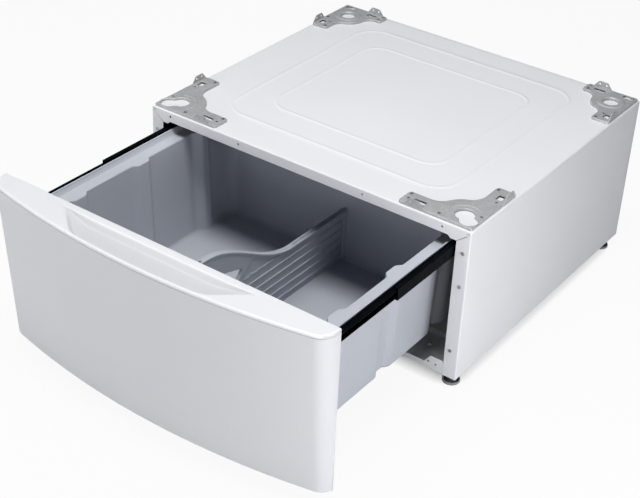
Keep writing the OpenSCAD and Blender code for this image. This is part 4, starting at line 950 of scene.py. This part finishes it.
def makeCabinetWrapper(look):
    # A grid of columns across (side, fold, deck, fold, side) and rows along the depth. Rows at the
    # front and the rear curl in by a quarter turn and go on as flanges, where each point is held
    # inside a frame that closes: x at most half - dx, z at most top - dz, so the corners are mitred
    half, top, low = cabinet["halfWidth"], cabinet["deck"], cabinet["low"]
    front, back = cabinet["front"], cabinet["back"] - look["rearGap"]
    r, q, fine, coarse = look["fold"], look["frontFold"], look["fineStep"], look["coarseStep"]
    inner = half - look["jamb"]
    zSide = spacedSteps((low, look["lipLow"], top - look["railTab"] - 1.0, top - r),
                        (3.0, 12.0, 5.0))
    arc = np.linspace(0.0, pi / 2, 8)[1:-1]
    stops = (half - r, inner, look["tabStart"], look["tabEnd"], *look["fineColumns"], 0.0)
    xHalf = spacedSteps(stops, (5.0, 6.0, 5.0, coarse, fine, coarse))
    across = [(np.full(len(zSide), half), zSide, np.ones(len(zSide)), np.zeros(len(zSide))),
              (half - r + r * np.cos(arc), top - r + r * np.sin(arc), np.cos(arc), np.sin(arc)),
              (xHalf, np.full(len(xHalf), top), np.zeros(len(xHalf)), np.ones(len(xHalf)))]
    x, z, nx, nz = (np.concatenate([part[k] for part in across]) for k in range(4))
    mirror = slice(-2, None, -1)
    x, nx = np.concatenate((x, -x[mirror])), np.concatenate((nx, -nx[mirror]))
    z, nz = np.concatenate((z, z[mirror])), np.concatenate((nz, nz[mirror]))

    def curled(inset):
        return x - inset * nx, z - inset * nz

    def framed(start, dx, dz):
        xs, zs = curled(start)
        return np.sign(xs) * np.minimum(np.abs(xs), half - dx), np.minimum(zs, top - dz)

    rows = []
    tab = np.clip((np.abs(x) - look["tabEnd"]) / (look["tabStart"] - look["tabEnd"]), 0.0, 1.0)
    reach = look["rail"] + (look["railTab"] - look["rail"]) * tab
    for share in (1.0, 0.8, 0.55, 0.3, 0.12):
        xs, zs = framed(q, q + (look["jamb"] - q) * share, q + (reach - q) * share)
        rows.append((xs, np.full(len(x), front), zs))
    for t in np.linspace(0.0, pi / 2, 7):
        xs, zs = curled(q - q * math.sin(t))
        rows.append((xs, np.full(len(x), front + q - q * math.cos(t)), zs))
    middle, (outerRow, innerRow) = look["beadCentre"], look["fineRows"]
    depth = spacedSteps((front + q, middle - outerRow, middle - innerRow, middle + innerRow,
                         middle + outerRow, back - look["rearFold"]),
                        (coarse, fine, coarse, fine, coarse))[1:]
    first = len(rows)
    for y in depth:
        rows.append((x, np.full(len(x), y), z))
    e = look["rearFold"]
    for t in np.linspace(0.0, pi / 2, 4)[1:]:
        xs, zs = curled(e - e * math.cos(t))
        rows.append((xs, np.full(len(x), back - e + e * math.sin(t)), zs))
    for share in (0.5, 1.0):
        d = e + (look["rearFlange"] - e) * share
        xs, zs = framed(e, d, d)
        rows.append((xs, np.full(len(x), back), zs))
    grid = np.array(rows).transpose(0, 2, 1)
    onDeck = (np.abs(x) < half - r - 1.0) & (z > top - 0.01)
    last = first + len(depth)
    body = grid[first:last]
    body[:, onDeck, 2] += beadRise(body[:, onDeck, 0], body[:, onDeck, 1], look)
    patches = [patch(grid)]

    jambs = (z >= look["lipLow"] - 0.01) & (z <= top - look["railTab"] - 0.99)
    lips = [(x > 0) & jambs, (x < 0) & jambs,
            (np.abs(x) <= look["tabEnd"] + 0.01) & (z > top - 1.0)]
    for chosen in lips:
        edge = grid[0, chosen]
        deep = np.array((0.0, look["lip"], 0.0))
        patches.append(patch([edge + deep, edge + deep / 2, edge]))
    for column, side in ((0, 1), (-1, -1)):
        edge = grid[first - 5:last, column]  # from within the front fold
        inside = edge * (0.0, 1.0, 1.0) + (side * (half - look["bottomFlange"]), 0.0, 0.0)
        patches.append(patch([inside, (edge + inside) / 2, edge], flip=side > 0))

    holes = []
    y0, y1 = front - 3.0, front + 3.0
    inX, downZ, size, deep = look["recess"]
    square = roundedOutline(((-size, -size), (size, -size), (size, size), (-size, size)),
                            look["recessRound"], 3)
    start = np.array((half - look["mitreStart"][0], top - look["mitreStart"][1]))
    end = np.array((inner, top - look["railTab"]))
    along = (end - start) / np.linalg.norm(end - start)
    aside = np.array((-along[1], along[0])) * look["mitreSlot"] / 2
    tip = end + along * 0.6
    slot = np.array((start + aside, tip + aside, tip - aside, start - aside))
    for side in (1, -1):
        holes.append(prism(square + (side * (half - inX), top - downZ), "y", y0, front + deep))
        holes.append(prism(slot * (side, 1), "y", y0, front + look["mitreDepth"]))
    holes += [prism(circle((px, top - look["railHoleDrop"]), look["railHole"]), "y", y0, y1)
              for px in look["railHoles"]]
    makePiece("cabinetWrapper", patches, "white_paint", "cabinet", ["cabinet_wrapper"], angle=32.0,
              wall=look["sheet"], cuts=holes, bevel=0.25, segments=1)


makeCabinetWrapper(wrapperLook)
print("cabinet made")


# Corner brackets, drawn with x and y measured inwards from the cabinet's corner

bracketPlate = {
    "low": 326.5, "top": 328.0, "foot": 323.7, "edge": (3.0, 4.0), "round": 6.0, "rim": 1.3,
    # the edge of the top, as (outwards, upwards)
    "rounding": ((-1.3, 0.0), (-0.75, -0.1), (-0.3, -0.4), (-0.05, -0.9), (0.0, -1.4)),
}
earLook = {
    "thick": 1.5, "height": 12.0, "slope": 9.0, "holeGap": 14.0, "hole": 2.0, "base": 40.0,
    "cuts": (2.0, 2.2), "round": 0.9,
}
frontBracketLook = {
    "arms": (146.0, 149.0), "widths": (39.0, 43.0), "boss": (38.0, 40.0, 45.0), "hollow": 30.0,
    "ears": (114.0, 128.0), "keyhole": ((36.0, 38.0, 18.0), (21.0, 24.0, 17.0)),
    "smallHoles": ((15, 103), (10, 47), (136, 22), (103, 12)), "smallHole": 2.5,
    "windows": (((102, 18), (126, 28)), ((11, 112), (23, 128))),
    # the keyhole's lip, as (outwards, upwards)
    "lip": ((1.6, 0.06), (0.5, 0.1), (-0.3, -0.15), (-0.8, -0.7), (-1.0, -1.5), (-1.0, -3.9),
            (0.2, -3.9), (0.2, -1.6), (1.6, -0.4)),
    "ridge": {"radius": 29.0, "width": 5.0, "height": 0.8, "turn": (-40.0, 130.0)},
}
rearBracketLook = {
    "arms": (107.0, 131.0), "widths": (39.0, 34.0), "boss": (38.0, 50.0, 38.0), "hollow": 20.0,
    "ears": (77.0, 108.0), "hole": (38.0, 50.0, 15.0),
    "ovals": ((13.0, 13.0, 6.0), (23.0, 12.0, 7.5)),
    "smallHoles": ((100, 10), (27, 101)), "smallHole": 2.5,
    "windows": (((66, 14), (88, 24)), ((10, 102), (22, 118))),
    # the raised collar round the hole, as (radius, upwards)
    "collar": ((27.6, -0.2), (26.6, 0.35), (25.4, 1.0), (24.4, 1.2), (18.6, 1.2), (16.8, 0.9),
               (15.6, 0.1), (15.0, -1.2), (15.0, -3.9), (16.3, -3.9), (16.3, -1.0), (26.5, -1.0)),
}


def bracketOutline(look, plate):
    # Two arms along the edges and a round boss in the corner, joined by hollow curves that touch
    # the arm's inner edge and the boss: their centres lie at the sum of both radii from the boss's
    k, (ex, ey), h = plate["round"], plate["edge"], pi / 2
    (p, q), (wx, wy), (bx, by, r), f = look["arms"], look["widths"], look["boss"], look["hollow"]
    right = np.array((bx + math.sqrt((r + f) ** 2 - (wy + f - by) ** 2), wy + f))
    far = np.array((wx + f, by + math.sqrt((r + f) ** 2 - (wx + f - bx) ** 2)))
    ax = math.atan2(right[1] - by, right[0] - bx)
    ay = math.atan2(far[1] - by, far[0] - bx)
    return np.vstack((arcPoints((ex + k / 2, ey + k / 2), k / 2, 2 * h, 3 * h),
                      arcPoints((p - k, ey + k), k, 3 * h, 4 * h),
                      arcPoints((p - k, wy - k), k, 0, h),
                      arcPoints(right, f, 3 * h, ax + 2 * h, 14),
                      arcPoints((bx, by), r, ax, ay, 30),
                      arcPoints(far, f, ay - 2 * h, -2 * h, 14),
                      arcPoints((wx - k, q - k), k, 0, h),
                      arcPoints((ex + k, q - k), k, h, 2 * h)))


def ringLoops(outline, steps):
    # The outline moved out by each step's first number, at the height of its second
    normal = outwardNormals(outline)
    return [np.column_stack((outline + normal * out, np.full(len(outline), z))) for out, z in steps]


def plateBody(outline, plate):
    # A shallow pan turned over: flat top, rounded edge, a rim down to the deck and the underside
    foot, rim = plate["foot"], plate["rim"]
    steps = [(out, plate["top"] + z) for out, z in plate["rounding"]]
    loops = ringLoops(outline, steps + [(0.0, foot), (-rim, foot), (-rim, plate["low"])])
    return [patch(loops, closeColumns=True), fan(loops[0]), fan(loops[-1], flip=True)]


def unionOutline(first, second, steps=72):
    # The outer boundary of two overlapping circles, seen from the middle between their centres:
    # along each direction the farther exit, t = b + sqrt(b² - |c|² + r²), b the centre's share
    middle = (np.array(first[:2]) + np.array(second[:2])) / 2
    direction = circle((0.0, 0.0), 1.0, steps)
    reach = np.zeros(steps)
    for x, y, r in (first, second):
        centre = np.array((x, y)) - middle
        b = direction @ centre
        reach = np.maximum(reach, b + np.sqrt(np.maximum(b * b - centre @ centre + r * r, 0.0)))
    return middle + direction * reach[:, None]


def arcRidge(look, centre, top):
    # A low ridge over part of a circle, half-round across: it rises from both of its ends by the
    # smooth step, over a sixth of its length
    start, end = (math.radians(k) for k in look["turn"])
    s = np.linspace(0.0, 1.0, 40)
    a = start + (end - start) * s
    rise = look["height"] * smoothStep(np.minimum(s, 1.0 - s) * 6.0)
    u = np.linspace(0.0, pi, 9)
    radius = look["radius"] + look["width"] / 2 * np.cos(u)
    x = centre[0] + radius[None, :] * np.cos(a)[:, None]
    y = centre[1] + radius[None, :] * np.sin(a)[:, None]
    z = top - 0.15 + (rise + 0.02)[:, None] * np.sin(u)[None, :] ** 0.8
    low = np.stack((x, y, np.full_like(z, top - 0.3)), axis=2)[:, ::-1]
    section = np.concatenate((np.stack((x, y, z), axis=2), low[:, 1:-1]), axis=1)
    return [patch(section, closeColumns=True), fan(section[0], flip=True), fan(section[-1])]


def atCorner(patches, sideX, sideY):
    # From inward distances to the cabinet's corner on that side
    half, back = cabinet["halfWidth"], cabinet["back"]
    return [(np.column_stack((sideX * (half - p[:, 0]), sideY * (back - p[:, 1]), p[:, 2])), f)
            for p, f in patches]


def earPatches(look, plate, ears):
    # Two tongues bent up from the outer edges, one along x and one along y, and their holes
    low, top = plate["low"] + 0.2, plate["top"] + look["height"]
    half, thick, (small, large) = look["base"] / 2, look["thick"], look["cuts"]
    neck = half - look["slope"]
    right = ((half, low), (half - small, low + large), (neck, top - small), (neck - large, top))
    left = [(-x, z) for x, z in right[::-1]]
    shape = roundedOutline((*left[-1:], *right, *left[:-1]), look["round"], 3)
    level = plate["top"] + look["height"] / 2
    tongues, holes = [], []
    for axis, along, across in (("y", ears[0], plate["edge"][1]), ("x", ears[1], plate["edge"][0])):
        tongues += prism(shape + (along, 0.0), axis, across + 0.05, across + thick)
        for side in (-1, 1):
            place = (along + side * look["holeGap"] / 2, level)
            holes.append(prism(circle(place, look["hole"], 20), axis, across - 3.0,
                               across + thick + 3.0))
    return tongues, holes


def makeBracket(name, node, look, plate, ear, sideX, sideY):
    # The stamped plate with its openings, its two ears, and the raised trim round the large hole
    through = (plate["foot"] - 1.0, plate["top"] + 3.0)
    cuts = [prism(circle(p, look["smallHole"], 20), "z", *through) for p in look["smallHoles"]]
    for (x0, y0), (x1, y1) in look["windows"]:
        corners = ((x0, y0), (x1, y0), (x1, y1), (x0, y1))
        cuts.append(prism(roundedOutline(corners, 0.8, 4), "z", *through))
    trim = []
    if "keyhole" in look:
        hole = unionOutline(*look["keyhole"])
        cuts.append(prism(hole, "z", *through))
        loops = ringLoops(hole, [(out, plate["top"] + z) for out, z in look["lip"]])
        trim += [patch(loops, closeRows=True, closeColumns=True)]
        trim += arcRidge(look["ridge"], look["keyhole"][0], plate["top"])
    else:
        cuts.append(prism(circle(look["hole"], look["hole"][2], 48), "z", *through))
        cuts.append(prism(unionOutline(*look["ovals"]), "z", *through))
        trim += lathe(look["collar"], (look["hole"][0], look["hole"][1], plate["top"]))
    body = plateBody(bracketOutline(look, plate), plate)
    tongues, holes = earPatches(ear, plate, look["ears"])
    for suffix, patches, openings in (("", body, cuts), ("Ears", tongues, holes),
                                      ("Trim", trim, ())):
        makePiece(name + suffix, atCorner(patches, sideX, sideY), "zinc_plate", "cabinet", [node],
                  angle=38.0, turnOut=True, bevel=0.25 if openings else 0.0, segments=1,
                  cuts=[atCorner(solid, sideX, sideY) for solid in openings])


for end, sideY, bracketLook in (("front", -1, frontBracketLook), ("rear", 1, rearBracketLook)):
    for hand, sideX in (("left", -1), ("right", 1)):
        makeBracket(end + hand.title() + "Bracket", f"{end}_{hand}_bracket", bracketLook,
                    bracketPlate, earLook, sideX, sideY)
print("brackets made")


# Foot pads: a grey foot ring and a dark hub, both turned round the stud

footLook = {
    "placeX": 322.0, "placeY": 283.5,
    "ring": ((0.0, 0.0), (14.6, 0.0), (15.6, 0.4), (16.0, 1.3), (16.0, 4.2), (15.6, 5.2),
             (14.8, 5.6), (14.0, 5.3), (13.5, 4.5), (13.0, 3.6), (0.0, 3.4)),
    "hub": ((0.0, 2.6), (13.2, 2.6), (13.2, 4.1), (12.4, 4.9), (11.2, 6.4), (10.2, 9.8),
            (9.6, 11.4), (8.8, 11.9), (5.4, 11.9), (4.6, 11.4), (0.0, 11.4)),
}


def makeFootPad(look, name, node, sideX, sideY):
    # Closed profiles of (radius, height) turned about the stud's axis
    centre = (sideX * look["placeX"], sideY * look["placeY"], 0.0)
    for part, finish in (("ring", "foot_rubber"), ("hub", "black_rubber")):
        makePiece(name + part.title(), lathe(look[part], centre), "black_rubber", node, [node],
                  angle=30.0, turnOut=True, finish=finish)


for hand, sideX in (("left", -1), ("right", 1)):
    for end, sideY in (("front", -1), ("rear", 1)):
        makeFootPad(footLook, end + hand.title() + "Foot", f"{end}_{hand}_foot_pad", sideX, sideY)
print("feet made")


# Studio: a pale floor, a white surround and soft lamps

floorLook = {
    "size": 30.0, "colour": (0.60, 0.60, 0.61), "paler": 1.02, "tone": (3.0, 4.0),
    "roughness": 0.9, "below": 0.0002,
    "middle": (0.0, 0.0), "half": (0.295, 0.26), "whiteShare": 0.93, "fade": 0.05,
}


def makeFloor(look):
    # A square sheet at the feet; to the camera most of it reads as white
    half = look["size"] / 2
    mesh = bpy.data.meshes.new("studioFloor")
    corners = [(-half, -half), (half, -half), (half, half), (-half, half)]
    mesh.from_pydata([(x, y, -look["below"]) for x, y in corners], [], [(0, 1, 2, 3)])
    floor = bpy.data.objects.new("studioFloor", mesh)
    bpy.context.scene.collection.objects.link(floor)
    paper = {"shader": {"Roughness": look["roughness"]}}
    material, tree, shader, place = startFinish("floorPaper", paper)
    paler = tuple(min(1.0, c * look["paler"]) for c in look["colour"])
    colour = clouds(tree, place, look["tone"], look["colour"], paler)
    tree.links.new(colour, shader.inputs["Base Color"])
    whiteToViewer(tree, shader.outputs["BSDF"], whiteShare(tree, place, look))
    mesh.materials.append(material)


def whiteShare(tree, place, look):
    # Nothing under the object, rising to the full share at the fade's distance from its outline
    away = outsideBox(tree, place, (*look["middle"], 0.0), (*look["half"], 1.0))
    return spread(tree, away, 0.0, look["whiteShare"], 0.0, look["fade"])


def whiteToViewer(tree, surface, share):
    # Camera rays see the surface mixed with plain white
    ray = tree.nodes.new("ShaderNodeLightPath")
    amount = tree.nodes.new("ShaderNodeMath")
    amount.operation = "MULTIPLY"
    tree.links.new(ray.outputs["Is Camera Ray"], amount.inputs[0])
    tree.links.new(share, amount.inputs[1])
    white = tree.nodes.new("ShaderNodeEmission")
    mixer = tree.nodes.new("ShaderNodeMixShader")
    tree.links.new(amount.outputs[0], mixer.inputs["Fac"])
    tree.links.new(surface, mixer.inputs[1])
    tree.links.new(white.outputs[0], mixer.inputs[2])
    tree.links.new(mixer.outputs[0], tree.nodes["Material Output"].inputs["Surface"])


worldLook = {"colour": (0.97, 0.98, 1.0), "strength": 0.02}


def makeWorld(look):
    # Faint even light, while the camera sees plain white
    world = bpy.data.worlds.new("studioWorld")
    world.use_nodes = True
    tree = world.node_tree
    light = tree.nodes["Background"]
    light.inputs["Color"].default_value = (*look["colour"], 1.0)
    light.inputs["Strength"].default_value = look["strength"]
    white = tree.nodes.new("ShaderNodeBackground")
    white.inputs["Color"].default_value = (1, 1, 1, 1)
    white.inputs["Strength"].default_value = 1.0
    ray = tree.nodes.new("ShaderNodeLightPath")
    mixer = tree.nodes.new("ShaderNodeMixShader")
    tree.links.new(ray.outputs["Is Camera Ray"], mixer.inputs["Fac"])
    tree.links.new(light.outputs[0], mixer.inputs[1])
    tree.links.new(white.outputs[0], mixer.inputs[2])
    tree.links.new(mixer.outputs[0], tree.nodes["World Output"].inputs["Surface"])
    bpy.context.scene.world = world


lampLooks = {
    "topLamp": {"place": (0.0, 0.3, 2.6), "aim": (0.0, 0.0, 0.3),
                "size": (2.4, 2.4), "power": 18.0},
    "topFrontLamp": {"place": (0.0, -0.8, 2.6), "aim": (0.0, -0.6, 0.2),
                     "size": (1.6, 0.6), "power": 21.0},
    "topRightLamp": {"place": (0.6, -0.7, 2.6), "aim": (0.0, -0.5, 0.2),
                     "size": (0.8, 0.6), "power": 22.0},
    "topLeftLamp": {"place": (-1.6, -0.3, 2.2), "aim": (0.0, -0.3, 0.2),
                    "size": (1.6, 1.6), "power": 10.0},
    "rightLamp": {"place": (1.3, -0.7, 0.5), "aim": (0.35, -0.4, 0.2),
                  "size": (0.5, 0.8), "power": 2.4},
    "lowRightLamp": {"place": (1.3, -0.7, 0.18), "aim": (0.35, -0.4, 0.15),
                     "size": (0.6, 0.25), "power": 5.2},
    "jambLamp": {"place": (0.9, -1.2, 0.25), "aim": (0.34, -0.35, 0.15),
                 "size": (0.4, 0.4), "power": 0.8},
    "leftLamp": {"place": (-0.9, -1.2, 0.25), "aim": (-0.3, -0.7, 0.2),
                 "size": (0.4, 0.4), "power": 1.5},
    "frontLamp": {"place": (0.0, -3.0, 0.7), "aim": (0.0, -0.6, 0.2),
                  "size": (1.4, 1.0), "power": 24.0},
}


def makeLamp(name, look):
    # A rectangular area lamp whose -Z axis runs from its place to its aim
    data = bpy.data.lights.new(name, "AREA")
    data.shape = "RECTANGLE"
    data.size, data.size_y = look["size"]
    data.energy = look["power"]
    lamp = bpy.data.objects.new(name, data)
    place = Vector(look["place"])
    turn = (Vector(look["aim"]) - place).to_track_quat("-Z", "Y").to_matrix().to_4x4()
    lamp.matrix_world = Matrix.Translation(place) @ turn
    bpy.context.scene.collection.objects.link(lamp)


makeFloor(floorLook)
makeWorld(worldLook)
for lampName, lampLook in lampLooks.items():
    makeLamp(lampName, lampLook)
bpy.context.scene.view_settings.view_transform = "Standard"
print("studio lit with", len(lampLooks), "lamps")

# Camera of the photograph, fitted on the cabinet's corners; places in metres, turns in degrees
cameraLook = {
    "place": (1.2417, -2.0069, 1.5092),
    "azimuth": 35.1, "elevation": 32.8, "roll": 2.6,
    "focalPixels": 1402.4, "imageWidth": 640,
    "sensor": 36.0, "clip": (0.05, 60.0),
}


def makeCamera(look):
    # The view direction comes from azimuth and elevation, and roll turns the picture about it
    a, e, r = (math.radians(look[k]) for k in ("azimuth", "elevation", "roll"))
    forward = Vector((-math.sin(a) * math.cos(e), math.cos(a) * math.cos(e), -math.sin(e)))
    right = forward.cross(Vector((0, 0, 1))).normalized()
    up = right.cross(forward)
    turnedRight = math.cos(r) * right + math.sin(r) * up
    turnedUp = math.cos(r) * up - math.sin(r) * right
    data = bpy.data.cameras.new("studioCamera")
    data.sensor_width = look["sensor"]
    data.lens = look["focalPixels"] * look["sensor"] / look["imageWidth"]
    data.clip_start, data.clip_end = look["clip"]
    camera = bpy.data.objects.new("studioCamera", data)
    turn = Matrix((turnedRight, turnedUp, -forward)).transposed().to_4x4()
    camera.matrix_world = Matrix.Translation(look["place"]) @ turn
    bpy.context.scene.collection.objects.link(camera)
    bpy.context.scene.camera = camera


makeCamera(cameraLook)
print("camera placed")
